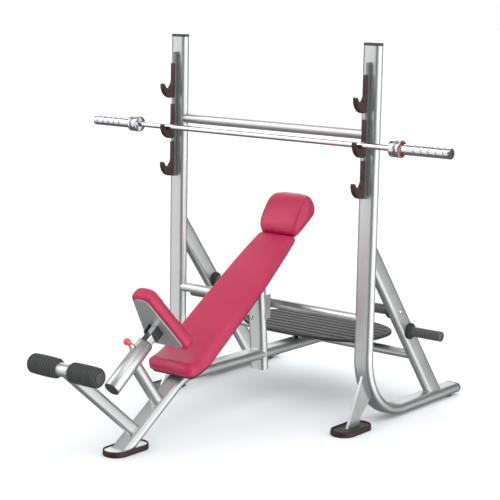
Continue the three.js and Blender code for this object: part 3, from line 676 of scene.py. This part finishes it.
def block(middle, size):
    """A square-cut plate."""
    (x, y, z), (a, b, c) = middle, [s / 2 for s in size]
    outline = [(x - a, y - b), (x + a, y - b), (x + a, y + b), (x - a, y + b)]
    return prism(outline, z - c, z + c)


for name, middle, size in saddle_plates:
    made(name, block(middle, size), silver_paint, edge=1.5)

# ---- Spotter platform -------------------------------------------------------------------------
# A dark moulded deck behind the bench, with rounded ribs across it for grip and a smooth rim.
# It is bolted down on a plate that stands on the rear beam.
DECK_TOP = 357
DECK_HALF = (414, 255)
DECK_Y = 435
DECK_ROUND = 2.7
RIB_PITCH = 54
RIB_HEIGHT = 5
RIB_INSET = 19

deck_plastic = Finish("deck_plastic", "platform_plastic")
grain = deck_plastic.noise(650, 3.0)
cloud = deck_plastic.noise(9, 2.0)
deck_plastic.surface(base_color=deck_plastic.blend(grain * 0.6 + cloud * 0.4, (0.014, 0.014, 0.014),
                                                   (0.040, 0.040, 0.040)),
                     roughness=cloud * 0.2 + 0.4)
deck_plastic.relief(grain, 0.0003)


def deck_outline(inset, count=160):
    """The deck's rounded plan, drawn in by inset."""
    a, b = (half - inset for half in DECK_HALF)
    power = 2 / DECK_ROUND
    corners = []
    for k in range(count):
        t = math.tau * k / count
        across, endwise = math.cos(t), math.sin(t)
        corners.append((a * math.copysign(abs(across) ** power, across),
                        DECK_Y + b * math.copysign(abs(endwise) ** power, endwise)))
    return corners


deck_sides = [(7, -10), (6, -17), (1.5, -17), (0, -15), (0, -5.5), (1.2, -2.8), (3.6, -1.4), (14, -1.0),
              (17, -RIB_HEIGHT)]
rings = [[Vector((u, v, DECK_TOP + drop)) for u, v in deck_outline(inset)] for inset, drop in deck_sides]
made("platform_deck", strip(rings), deck_plastic, replaces=["spotter_platform"], sharp=55)
rib_corners = []
rib_faces = []
rib_section = [(-17, -0.4), (-15.5, RIB_HEIGHT - 2.2), (-11, RIB_HEIGHT - 0.5), (0, RIB_HEIGHT),
               (11, RIB_HEIGHT - 0.5), (15.5, RIB_HEIGHT - 2.2), (17, -0.4)]
half_wide, half_long = (half - RIB_INSET for half in DECK_HALF)
row = -DECK_HALF[1] + RIB_INSET + RIB_PITCH / 2
while row < half_long:
    reach = (1 - (abs(row) / half_long) ** DECK_ROUND) ** (1 / DECK_ROUND) * half_wide
    rings = []
    for x, share in ((-reach, 0.15), (-reach + 4, 0.8), (-reach + 9, 1), (reach - 9, 1), (reach - 4, 0.8),
                     (reach, 0.15)):
        rings.append([Vector((x, DECK_Y + row + u, DECK_TOP - RIB_HEIGHT + (v * share if v > 0 else v)))
                      for u, v in rib_section])
    corners, faces = strip(rings)
    rib_faces += [tuple(i + len(rib_corners) for i in face) for face in faces]
    rib_corners += corners
    row += RIB_PITCH
rib_plastic = Finish("rib_plastic", "platform_plastic")
wear = rib_plastic.noise(26, 4.0, (0.3, 1, 1))
rib_plastic.surface(base_color=rib_plastic.blend(wear, (0.030, 0.030, 0.030), (0.075, 0.075, 0.075)),
                    roughness=wear * 0.2 + 0.42)
rib_plastic.relief(rib_plastic.noise(650, 3.0), 0.0003)
made("platform_ribs", (rib_corners, rib_faces), rib_plastic, sharp=60)

# ---- Bench board, rail and headrest bracket ----------------------------------------------------
# A plywood board, black underneath, follows the bend from seat to backrest. A square steel rail
# is screwed to its back and ends in the bracket that carries the headrest.
black_board = grained("black_board", "bracket_paint", (300, 4.0, (1, 0.2, 0.2)), (0.02, 0.02, 0.02),
                      (0.05, 0.048, 0.046), swing=0.2, rough=0.6, depth=0.0003)
repainted("bench_board", black_board, 0.0015)
repainted("back_rail", dark_bracket, 0.0015)

# ---- Bench cushion ----------------------------------------------------------------------------
# One foam cushion runs from the seat up the backrest, covered in grained raspberry vinyl with a seam along
# the edge of the sitting face, where painted shade darkens the vinyl. It is blown up a little, as foam under
# a tight cover.
SEAM_DEPTH = 0.0014
SEAM_WIDTH = 0.0026
COVER_PRESSURE = 3.0
COVER_LIFT = 0.004
VINYL_DARK = (0.37, 0.005, 0.050)
VINYL_LIGHT = (0.60, 0.014, 0.100)

vinyl = Finish("raspberry_vinyl", "vinyl", specular_ior_level=0.5, coat_weight=0.15, coat_roughness=0.25)
pebble = vinyl.cells(620)
cloud = vinyl.noise(7, 3.0)
fine = vinyl.noise(2600, 1.0)
# The seam mask from sewn() turns the vinyl deep red along each seam: painted shade in the seam's groove.
seam = vinyl.add("ShaderNodeAttribute", {"attribute_name": "seam"}, out="Fac")
tone = vinyl.blend(cloud * 0.75 + pebble * 0.35, VINYL_DARK, VINYL_LIGHT)
vinyl.surface(base_color=vinyl.blend(seam * 0.4, tone, (0.22, 0.010, 0.035)),
              roughness=cloud * 0.12 + pebble * 0.14 + 0.28)
vinyl.relief(pebble * 0.8 + fine * 0.2, 0.0007)


def shown_mesh(piece):
    """The piece's mesh with its modifiers applied."""
    graph = bpy.context.evaluated_depsgraph_get()
    return bpy.data.meshes.new_from_object(piece.evaluated_get(graph))


def places(mesh):
    found = np.empty(len(mesh.vertices) * 3)
    mesh.vertices.foreach_get("co", found)
    return found.reshape(-1, 3)


def normals(mesh):
    found = np.empty(len(mesh.vertices) * 3)
    mesh.vertex_normals.foreach_get("vector", found)
    return found.reshape(-1, 3)


def relaxed(mesh, rounds):
    """Evens a mesh out, which rounds its corners."""
    pairs = np.empty(len(mesh.edges) * 2, int)
    mesh.edges.foreach_get("vertices", pairs)
    pairs = pairs.reshape(-1, 2)
    at = places(mesh)
    count = np.bincount(pairs.ravel(), minlength=len(at))[:, None]
    for _ in range(rounds):
        total = np.zeros_like(at)
        np.add.at(total, pairs[:, 0], at[pairs[:, 1]])
        np.add.at(total, pairs[:, 1], at[pairs[:, 0]])
        at = at + 0.5 * (total / count - at)
    mesh.vertices.foreach_set("co", at.ravel())
    mesh.update()


def stuffed(name, node, body, rings, seams, backed, voxel):
    """A padded piece from its rings: foam blown up under its cover, which is held flat where it
    is backed by its board, and drawn in along its seams."""
    corners, faces = strip(rings)
    mesh = bpy.data.meshes.new(name)
    mesh.from_pydata([spot(c) for c in corners], [], faces)
    piece = bpy.data.objects.new(name, mesh)
    scene.collection.objects.link(piece)
    remesh = piece.modifiers.new("even", "REMESH")
    remesh.mode = "VOXEL"
    remesh.voxel_size = voxel
    even = shown_mesh(piece)
    piece.modifiers.clear()
    piece.data = even
    relaxed(even, 3)
    start = places(even)
    free = np.clip(1 - np.clip(normals(even) @ np.array(backed), 0, 1) * 1.6, 0, 1)[:, None]
    cloth = piece.modifiers.new("cover", "CLOTH")
    cloth.settings.use_pressure = True
    cloth.settings.uniform_pressure_force = COVER_PRESSURE
    cloth.settings.quality = 4
    cloth.settings.effector_weights.gravity = 0
    cloth.point_cache.frame_start = 1
    cloth.point_cache.frame_end = 20
    for number in range(1, 21):
        scene.frame_set(number)
    moved = places(shown_mesh(piece)) - start
    length = np.linalg.norm(moved, axis=1)[:, None]
    moved *= np.minimum(1, COVER_LIFT / np.maximum(length, 1e-9)) * free
    piece.modifiers.clear()
    even.vertices.foreach_set("co", (start + moved).ravel())
    even.update()
    scene.frame_set(1)
    relaxed(even, 2)
    finer = piece.modifiers.new("finer", "SUBSURF")
    finer.levels = finer.render_levels = 1
    smooth = shown_mesh(piece)
    piece.modifiers.clear()
    piece.data = smooth
    sewn(smooth, [spot(c) for line in seams for c in evenly([Vector(c) for c in line], 2)])
    smooth.materials.clear()
    smooth.materials.append(vinyl.material)
    smooth.shade_smooth()
    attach(piece, body)
    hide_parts(node)


def sewn(mesh, line):
    """Pulls the cover in along a seam and puckers it lightly on both sides, and keeps the seam mask that
    paints shade into the vinyl's colour along the groove.
    """
    tree = kdtree.KDTree(len(line))
    for index, point in enumerate(line):
        tree.insert(point, index)
    tree.balance()
    at = places(mesh)
    found = [tree.find(corner) for corner in at]
    number = np.array([index for _, index, _ in found])
    near = np.array([distance for _, _, distance in found])
    near = np.maximum(0, near - 0.003)
    mark = np.exp(-(near / SEAM_WIDTH) ** 2)
    pucker = 0.0004 * np.sin(number * math.tau / 9) * np.exp(-near / 0.012)
    at = at + normals(mesh) * (pucker - SEAM_DEPTH * mark)[:, None]
    mesh.vertices.foreach_set("co", at.ravel())
    # The mask is kept as the seam attribute, which the vinyl reads to paint shade along the seam.
    layer = mesh.attributes.new("seam", "FLOAT", "POINT")
    layer.data.foreach_set("value", mark.astype(np.float32))
    mesh.update()


SEAT_FRONT = Vector((0, -756, 364))
SEAT_CREASE = Vector((0, -655, 386))
BACK_ANGLE = math.radians(34.5)
BACK_LENGTH = 884
PADDING = 56
TAPER = 26
BENCH_TURN = 60
SEAT_HALF = 145
SEAT_CORNER = 38
BACK_CORNER = 14
NARROWS_AT = 640
EDGE_ROUND = 21
UNDER_ROUND = 4
CROWN = 5
along_back = Vector((0, math.cos(BACK_ANGLE), math.sin(BACK_ANGLE)))
off_back = Vector((0, -math.sin(BACK_ANGLE), math.cos(BACK_ANGLE)))
along_seat = (SEAT_CREASE - SEAT_FRONT).normalized()
seat_length = (SEAT_CREASE - SEAT_FRONT).length
off_seat = Vector((0, -along_seat.z, along_seat.y))


def quarter(part, radius):
    """How far a rounded edge has drawn back, at that distance from its end."""
    short = max(0.0, radius - part)
    return radius - math.sqrt(radius * radius - short * short)


def bench_station(s):
    """Middle of the sitting face, the direction out of it and the foam's depth, at s along it."""
    bend = min(1.0, max(0.0, (s - seat_length + BENCH_TURN) / (2 * BENCH_TURN)))
    first = SEAT_CREASE - along_seat * BENCH_TURN
    last = SEAT_CREASE + along_back * BENCH_TURN
    if bend <= 0:
        return SEAT_FRONT + along_seat * s, off_seat, PADDING
    out = off_seat.lerp(off_back, bend).normalized()
    if bend < 1:
        at = first.lerp(SEAT_CREASE, bend).lerp(SEAT_CREASE.lerp(last, bend), bend)
        return at, out, PADDING
    up_back = s - seat_length
    thin = TAPER * (up_back - BENCH_TURN) / (BACK_LENGTH - BENCH_TURN)
    return SEAT_CREASE + along_back * up_back, out, PADDING - thin


def padded_section(half, low, high, middle, out, crown):
    """A rounded section across a cushion between two heights, fuller in the middle."""
    top = min(EDGE_ROUND, (high - low) * 0.55)
    base = UNDER_ROUND
    edge = []
    for k in range(7):
        t = math.radians(15 * k)
        edge.append((half - base + base * math.sin(t), low + base - base * math.cos(t)))
    for k in range(11):
        t = math.radians(9 * k)
        edge.append((half - top + top * math.cos(t), high - top + top * math.sin(t)))
    inner = half - top
    for k in range(1, 12):
        edge.append((inner * (1 - k / 6), high))
    edge = edge[:-1] + [(-u, v) for u, v in reversed(edge[:18])]
    swell = [(u, v + crown * max(0.0, 1 - (u / half) ** 2) if v > (low + high) / 2 else v) for u, v in edge]
    return [middle + Vector((u, 0, 0)) + out * v for u, v in swell]


bench_length = seat_length + BACK_LENGTH
steps = [0, 0.6, 2, 4.5, 8, 12, 17, 23, 30, 38] + [50 + 8 * k for k in range(24)]
steps += [250 + 16 * k for k in range(44)]
steps = [s for s in steps if s < bench_length - 24]
steps += [bench_length - e for e in (22, 17, 12, 8, 4.5, 2, 0.6, 0)]
bench_rings = []
bench_seams = [[], []]
for s in steps:
    at, out, depth = bench_station(s)
    past = bench_length - s
    up_back = max(0.0, s - seat_length)
    narrowed = max(0, (up_back - NARROWS_AT) / (BACK_LENGTH - NARROWS_AT))
    half = SEAT_HALF - 8 * min(1, up_back / NARROWS_AT) ** 2 - 22 * narrowed ** 1.3
    half -= quarter(s, SEAT_CORNER) + quarter(past, BACK_CORNER)
    high = -quarter(s, EDGE_ROUND) - quarter(past, BACK_CORNER)
    low = -depth + quarter(s, UNDER_ROUND) + quarter(past, UNDER_ROUND)
    crown = CROWN * min(1, s / 60) * min(1, past / 60)
    bench_rings.append(padded_section(half, low, high, at, out, crown))
    for line, side in zip(bench_seams, (-1, 1)):
        line.append(at + Vector((side * half, 0, 0)) + out * (high - 0.7 * EDGE_ROUND))
bench_seam = bench_seams[0] + bench_seams[1][::-1]
backed = tuple(-off_back)
stuffed("seat_and_back_cushion", "bench_cushion", "frame", bench_rings, [bench_seam], backed,
        voxel=0.006)

# ---- Headrest ---------------------------------------------------------------------------------
# A fat wedge of foam in the same vinyl, thin at the bottom and full at the top, closed by two
# end panels. Its flat back sits on the bracket.
HEADREST_FROM = 889
HEADREST_HALF = 118
END_ROUND = 15
head_section = [(2, -22), (-6, -12), (-5, 12), (12, 38), (50, 62), (98, 81), (148, 93), (188, 93),
                (216, 75), (226, 40), (220, 2), (198, -19), (180, -22)]


def eased(corners, parts=5):
    """A smooth closed line through the corners."""
    count = len(corners)
    found = []
    for k in range(count):
        a, b, c, d = (Vector(corners[(k + j) % count]) for j in (-1, 0, 1, 2))
        for j in range(parts):
            t = j / parts
            found.append(0.5 * ((2 * b) + (c - a) * t + (2 * a - 5 * b + 4 * c - d) * t * t
                                + (3 * b - a - 3 * c + d) * t ** 3))
    return found


head_line = eased(head_section)
head_middle = Vector((112, 12))
head_rings = []
head_seams = []
stops = [0, 1, 3, 6, 10, END_ROUND]
spread = stops + [END_ROUND + 8 * k for k in range(1, 26)] + [2 * HEADREST_HALF - e for e in reversed(stops)]
for reach in spread:
    e = min(reach, 2 * HEADREST_HALF - reach)
    u = reach / HEADREST_HALF - 1
    share = 1 - 0.05 * abs(u) ** 3 - quarter(e, END_ROUND) / 62
    ring = [head_middle + (p - head_middle) * share for p in head_line]
    ring = [Vector((p.x - 20 * abs(u) ** 4 * max(0.0, (p.x - 90) / 130), p.y)) for p in ring]
    lift = [Vector((p.x, max(p.y, -22 + quarter(e, END_ROUND) * 0.3))) for p in ring]
    placed = [SEAT_CREASE + along_back * (HEADREST_FROM + p.x) + off_back * p.y
              + Vector((reach - HEADREST_HALF, 0, 0)) for p in lift]
    head_rings.append(placed)
    if e == END_ROUND:
        head_seams.append([p + Vector((math.copysign(7, u), 0, 0)) for p in placed])
for ring, side in ((head_rings[0], -1), (head_rings[-1], 1)):
    centre = sum(ring, Vector()) / len(ring)
    bulge = [[centre + (p - centre) * share + Vector((side * out, 0, 0)) for p in ring]
             for share, out in ((0.8, 4), (0.5, 7), (0.2, 8.5))]
    head_rings = bulge[::-1] + head_rings if side < 0 else head_rings + bulge
stuffed("headrest_cushion", "headrest", "frame", head_rings, head_seams, backed,
        voxel=0.005)

# ---- Foot roller arm, axle and rollers ---------------------------------------------------------
# An oval tube arm, welded to the front leg, carries a steel axle across its end. A ribbed rubber
# roller turns freely on each half of the axle between the arm and a turned end cap.
ROLLER_AXLE = (-1417, 455)
ROLLER_FROM = 38
ROLLER_TO = 207
arm_run = [(0, -982, 88), (0, *ROLLER_AXLE)]
leg_heading = (Vector((0, KNEE_Y, BEAM_Z)) - Vector(leg_foot)).normalized()
leg_face = Vector((0, -leg_heading.z, leg_heading.y))
on_leg = on_oval(leg_foot, leg_face, SUNK)
arm_oval = oval(40, 62)
arm_heading = (Vector(arm_run[1]) - Vector(arm_run[0])).normalized()
arm_end = tuple(Vector(arm_run[1]) + arm_heading * 2)
made("roller_arm_tube", tube([arm_run[0], arm_end], arm_oval, start=on_leg), silver_paint,
     replaces=["foot_roller_arm"], edge=1.2)
weld("roller_arm_weld", arm_run, arm_oval, start=on_oval(leg_foot, leg_face))

roller_rubber = grained("roller_rubber", "grip_rubber", (500, 3.0), (0.022, 0.023, 0.024),
                        (0.062, 0.063, 0.064), swing=0.25, rough=0.45, depth=0.0004, specular_ior_level=0.4)
along_x = Matrix.Translation((0, *ROLLER_AXLE)) @ Matrix.Rotation(math.pi / 2, 4, "Y")
axle_end = ROLLER_TO + 9
made("roller_axle_rod",
     turned([(-ROLLER_TO - 2, 14), (-ROLLER_TO - 2, 16), (ROLLER_TO + 2, 16), (ROLLER_TO + 2, 14)], along_x),
     silver_paint, replaces=["roller_axle"], sharp=50)
for side, word in SIDES:
    outward = Matrix.Translation((0, *ROLLER_AXLE)) @ Matrix.Rotation(side * math.pi / 2, 4, "Y")
    made(f"{word}_axle_end_cap",
         turned([(ROLLER_TO + 1, 26), (ROLLER_TO + 1, 29), (ROLLER_TO + 3, 30), (ROLLER_TO + 6, 28),
                 (axle_end - 1, 21), (axle_end, 12)], outward), cap_plastic, sharp=60)
made("roller_arm_hub", turned([(-36, 27), (-36, 30), (-34, 31), (34, 31), (36, 30), (36, 27)], along_x),
     silver_paint, sharp=50)
RIBS = 9
ROLLER_RIB = ((0.0, 4.6), (0.1, 3.2), (0.22, 0.9), (0.36, 0.0), (0.6, 0.0), (0.74, 0.9), (0.86, 3.2),
              (0.94, 4.6))
rib_step = (ROLLER_TO - ROLLER_FROM - 14) / RIBS
for side, word in SIDES:
    profile = [(ROLLER_FROM, 17), (ROLLER_FROM, 33), (ROLLER_FROM + 1.5, 36.5), (ROLLER_FROM + 5, 39.5)]
    for k in range(RIBS):
        start = ROLLER_FROM + 7 + k * rib_step
        full = 46.5 - 2.2 * abs(2 * (k + 0.5) / RIBS - 1) ** 2.5
        profile += [(start + share * rib_step, full - drop) for share, drop in ROLLER_RIB]
    profile += [(ROLLER_TO - 6, 40), (ROLLER_TO - 2.5, 37), (ROLLER_TO, 32), (ROLLER_TO, 17)]
    outward = Matrix.Translation((0, *ROLLER_AXLE)) @ Matrix.Rotation(side * math.pi / 2, 4, "Y")
    made(f"{word}_rubber_roller", turned(profile, outward, closed=True), roller_rubber,
         body=f"{word}_roller", replaces=[f"{word}_foot_roller"], sharp=50)

# ---- Height sleeve and inner tube --------------------------------------------------------------
# A strut on the front leg holds a round steel sleeve at a slant. A chromed square tube slides in it
# through a plastic guide bush, and a plug closes the sleeve's lower end.
SLEEVE_FOOT = (-1129, 313)
SLEEVE_LENGTH = 275
SLEEVE_RADIUS = 38
STRUT_AT = 172
STRUT_RADIUS = 29
PIN_AT = 222
SQUARE = 44
PAD_PLATE_AT = 372
sleeve = Matrix.Translation((0, *SLEEVE_FOOT)) @ Matrix.Rotation(math.radians(-52.5), 4, "X")
slide = sleeve.to_3x3() @ Vector((0, 0, 1))
down = sleeve.to_3x3() @ Vector((0, 1, 0))

chrome = Finish("chrome", "chrome", metallic=1.0)
smear = chrome.noise(14, 3.0)
chrome.surface(base_color=chrome.blend(smear, (0.50, 0.51, 0.54), (0.68, 0.68, 0.70)),
               roughness=smear * 0.1 + 0.06)
chrome.relief(chrome.noise(900, 1.0), 0.00002)

strut_top = sleeve @ Vector((0, 0, STRUT_AT))
strut_run = [tuple(strut_top), tuple(strut_top + down * 160)]
strut_round = oval(2 * STRUT_RADIUS, 2 * STRUT_RADIUS, 28)
made("sleeve_strut_tube",
     tube(strut_run, strut_round, start=(tuple(strut_top), down, 0, SLEEVE_RADIUS - SUNK), end=on_leg),
     silver_paint, replaces=["sleeve_strut"])
weld("strut_top_weld", strut_run, strut_round, start=(tuple(strut_top), down, 0, SLEEVE_RADIUS))
weld("strut_foot_weld", strut_run, strut_round, end=on_oval(leg_foot, leg_face))
sleeve_side = [(0, 33), (0, 36.5), (1.5, 38), (SLEEVE_LENGTH - 1.5, 38), (SLEEVE_LENGTH, 36.5),
               (SLEEVE_LENGTH, 34)]
made("slanted_sleeve", turned(sleeve_side, sleeve), silver_paint, replaces=["height_sleeve"], sharp=50)
made("sleeve_plug", turned([(-4, 26), (-4, 34), (-2.5, 36.5), (-0.4, 37.4), (-0.2, 30)], sleeve),
     cap_plastic, replaces=["sleeve_end_plug"], sharp=50)
bush = []
for radius, past in ((36, 0.2), (38, 0.3), (38, 2.5), (36.5, 5)):
    bush.append([sleeve @ Vector((radius * math.cos(t), radius * math.sin(t), SLEEVE_LENGTH + past))
                 for t in (math.tau * k / 64 for k in range(64))])


def square_ring(half, corner, height, axes, steps=64):
    """A rounded square, with as many corners as a turned ring so that the two can be joined."""
    ring = []
    power = 2 / corner
    for k in range(steps):
        t = math.tau * k / steps
        ring.append(axes @ Vector((half * math.copysign(abs(math.cos(t)) ** power, math.cos(t)),
                                     half * math.copysign(abs(math.sin(t)) ** power, math.sin(t)), height)))
    return ring


bush += [square_ring(23.6, 8, SLEEVE_LENGTH + 5, sleeve), square_ring(22.6, 8, SLEEVE_LENGTH + 4, sleeve),
         square_ring(22.6, 8, SLEEVE_LENGTH - 20, sleeve)]
made("guide_bush", strip(bush), cap_plastic, replaces=["sleeve_guide_bush"], sharp=50)
slide_rings = [square_ring(SQUARE / 2, 9, height, sleeve, 96) for height in (80, PAD_PLATE_AT - 0.3)]
made("square_slide_tube", strip(slide_rings), chrome, body="leg_pad_carriage",
     replaces=["inner_tube"], sharp=50)

# ---- Leg pad ----------------------------------------------------------------------------------
# A tapered grey steel plate is fixed across the top of the slide tube between two ears, and the
# thigh pad, foam on a board in the same vinyl, is screwed on to it.
plate_paint = Finish("plate_paint", "hook_steel", metallic=0.45)
grain = plate_paint.noise(900, 2.0)
haze = plate_paint.noise(8, 2.0)
tone = plate_paint.blend(grain * 0.4 + haze * 0.6, (0.30, 0.315, 0.31), (0.42, 0.435, 0.43))
plate_paint.surface(base_color=tone, roughness=haze * 0.15 + 0.36)
plate_paint.relief(grain, 0.0001)


def rounded(corners, radius, steps=10):
    """An outline with its corners rounded off."""
    points = [Vector(c) for c in corners]
    found = []
    for k, corner in enumerate(points):
        before = corner + (points[k - 1] - corner).normalized() * radius
        after = corner + (points[(k + 1) % len(points)] - corner).normalized() * radius
        for j in range(steps + 1):
            t = j / steps
            found.append(tuple(before * (1 - t) ** 2 + corner * (2 * t * (1 - t)) + after * t * t))
    return found


pad_corners = [(-114, 112), (114, 112), (42, -194), (-42, -194)]
made("leg_pad_back_plate", prism(rounded(pad_corners, 34), PAD_PLATE_AT, PAD_PLATE_AT + 8, sleeve),
     plate_paint, body="leg_pad_carriage", replaces=["leg_pad_plate"], edge=1.5)
for side, word in SIDES:
    inner, outer = side * 24.8 - 2.5, side * 24.8 + 2.5
    ear = [(inner, -30), (outer, -30), (outer, 30), (inner, 30)]
    made(f"{word}_pad_ear", prism(ear, PAD_PLATE_AT - 51, PAD_PLATE_AT + 1, sleeve), dark_bracket,
         body="leg_pad_carriage", edge=1.2)
foam_corners = [(-130, 128), (130, 128), (50, -210), (-50, -210)]


def drawn_in(corners, inset):
    """A convex outline with each of its sides moved in."""
    points = [Vector(c) for c in corners]
    middle = sum(points, Vector((0, 0))) / len(points)
    lines = []
    for a, b in zip(points, points[1:] + points[:1]):
        run = (b - a).normalized()
        inward = Vector((-run.y, run.x))
        inward *= math.copysign(1, inward.dot(middle - a))
        lines.append((a + inward * inset, run))
    found = []
    for (a, run), (b, other) in zip([lines[-1]] + lines[:-1], lines):
        along = ((b - a).x * other.y - (b - a).y * other.x) / (run.x * other.y - run.y * other.x)
        found.append(a + run * along)
    return found


pad_rings = []
for inset, height in ((10, 0), (0, 1.5), (-5, 5), (-8, 12), (-8, 38), (-6, 47), (-1, 55), (6, 61), (14, 65),
                      (24, 67), (34, 68.5)):
    shape = rounded(drawn_in(foam_corners, inset), 40 - 0.7 * inset)
    pad_rings.append([sleeve @ Vector((u, v, PAD_PLATE_AT + 8.3 + height)) for u, v in shape])
stuffed("thigh_pad_cushion", "leg_pad", "leg_pad_carriage", pad_rings, [pad_rings[4]],
        tuple(-slide), voxel=0.005)

# ---- Pull pin ---------------------------------------------------------------------------------
# A sprung steel pin in a short turned housing locks the slide tube. It leans to one side of the
# sleeve and ends in a glossy red ball to pull on.
pin_axis = Matrix.Rotation(math.radians(-115), 4, "Z") @ Matrix.Rotation(math.pi / 2, 4, "Y")
pin_frame = sleeve @ Matrix.Translation((0, 0, PIN_AT)) @ pin_axis
KNOB_AT = SLEEVE_RADIUS + 38
KNOB_RADIUS = 17

knob_red = grained("knob_red", "knob_plastic", (40, 2.0), (0.80, 0.035, 0.035), (0.92, 0.07, 0.06),
                   swing=0.1, rough=0.2, coat_weight=0.6, coat_roughness=0.05)
nut = [(36.5, 9), (36.5, 16.5), (38.5, 17.5), (40, 15), (45, 15), (46, 14), (46, 12.5), (54, 12.5),
       (55, 11.5), (55, 8.6)]
made("pin_sleeve_nut", turned(nut, pin_frame), chrome, replaces=["pin_housing"], sharp=40)
made("pull_pin_rod", turned([(28.5, 5.5), (30, 7), (KNOB_AT - 8, 7)], pin_frame), chrome, body="pull_pin",
     replaces=["pull_pin"], sharp=40)
ball = [(57, 7.3), (57, 8.8), (60, 9.2), (KNOB_AT - 16, 8)]
ball += [(KNOB_AT - KNOB_RADIUS * math.cos(t), KNOB_RADIUS * math.sin(t))
         for t in (math.radians(30 + 8 * k) for k in range(19))]
made("red_ball_knob", turned(ball, pin_frame), knob_red, body="pull_pin", replaces=["pull_knob"], sharp=60)

# ---- Barbell ----------------------------------------------------------------------------------
# A chromed shaft with a turned sleeve on each end that spins on it. Each sleeve has a thick
# collar with a dark red washer on its outer face, five shallow grooves and a black end plug.
BAR_Z = 1389
BAR_HALF = 1100
COLLAR_X = 783
COLLAR_END = 840
COLLAR = ((0, 14.6), (0, 36), (1, 38.8), (3, 40), (32, 40), (34, 39), (35, 34.5), (40, 34.5), (41, 39),
          (43, 40), (54.5, 40), (56.4, 39), (57, 37), (57, 27), (59, 25))
WASHER = ((-1, 26), (-1, 37.6), (0.8, 37.2), (1.6, 36), (1.6, 28), (1, 26))
GROOVE = ((0, 25), (1.6, 23.4), (3.4, 22.6), (7.4, 22.6), (9.2, 23.4), (10.8, 25))
SLEEVE_TIP = ((-3, 25), (-0.8, 24.2), (0, 23.6), (0, 22.6), (-5, 22.2), (-5, 14.6))
END_PLUG = ((-6, 22), (-1.6, 22), (-0.6, 20.8), (-0.6, 8), (-2.2, 7))
washer_red = grained("washer_red", "chrome", (60, 2.0), (0.20, 0.004, 0.018), (0.34, 0.010, 0.03),
                     swing=0.1, rough=0.35)
bar_line = Matrix.Translation((0, BAR_Y, BAR_Z)) @ Matrix.Rotation(math.pi / 2, 4, "Y")
made("barbell_bar", turned([(-BAR_HALF + 16, 14), (BAR_HALF - 16, 14)], bar_line), chrome, body="barbell",
     replaces=["barbell_shaft"])
for side, word in SIDES:
    body = f"{word}_bar_sleeve"
    outward = Matrix.Translation((0, BAR_Y, BAR_Z)) @ Matrix.Rotation(side * math.pi / 2, 4, "Y")
    profile = [(COLLAR_X + along, radius) for along, radius in COLLAR]
    for k in range(5):
        start = BAR_HALF - 36 - (4 - k) * 39
        profile += [(start + along, radius) for along, radius in GROOVE]
    profile += [(BAR_HALF + along, radius) for along, radius in SLEEVE_TIP]
    made(f"{word}_turned_sleeve", turned(profile, outward, 72), chrome, body=body,
         replaces=[f"{word}_bar_sleeve"], sharp=40)
    washer = [(COLLAR_END + along, radius) for along, radius in WASHER]
    made(f"{word}_collar_washer", turned(washer, outward, closed=True), washer_red, body=body, sharp=60)
    plug = [(BAR_HALF + along, radius) for along, radius in END_PLUG]
    made(f"{word}_sleeve_end_plug", turned(plug, outward), cap_plastic, body=body, sharp=40)
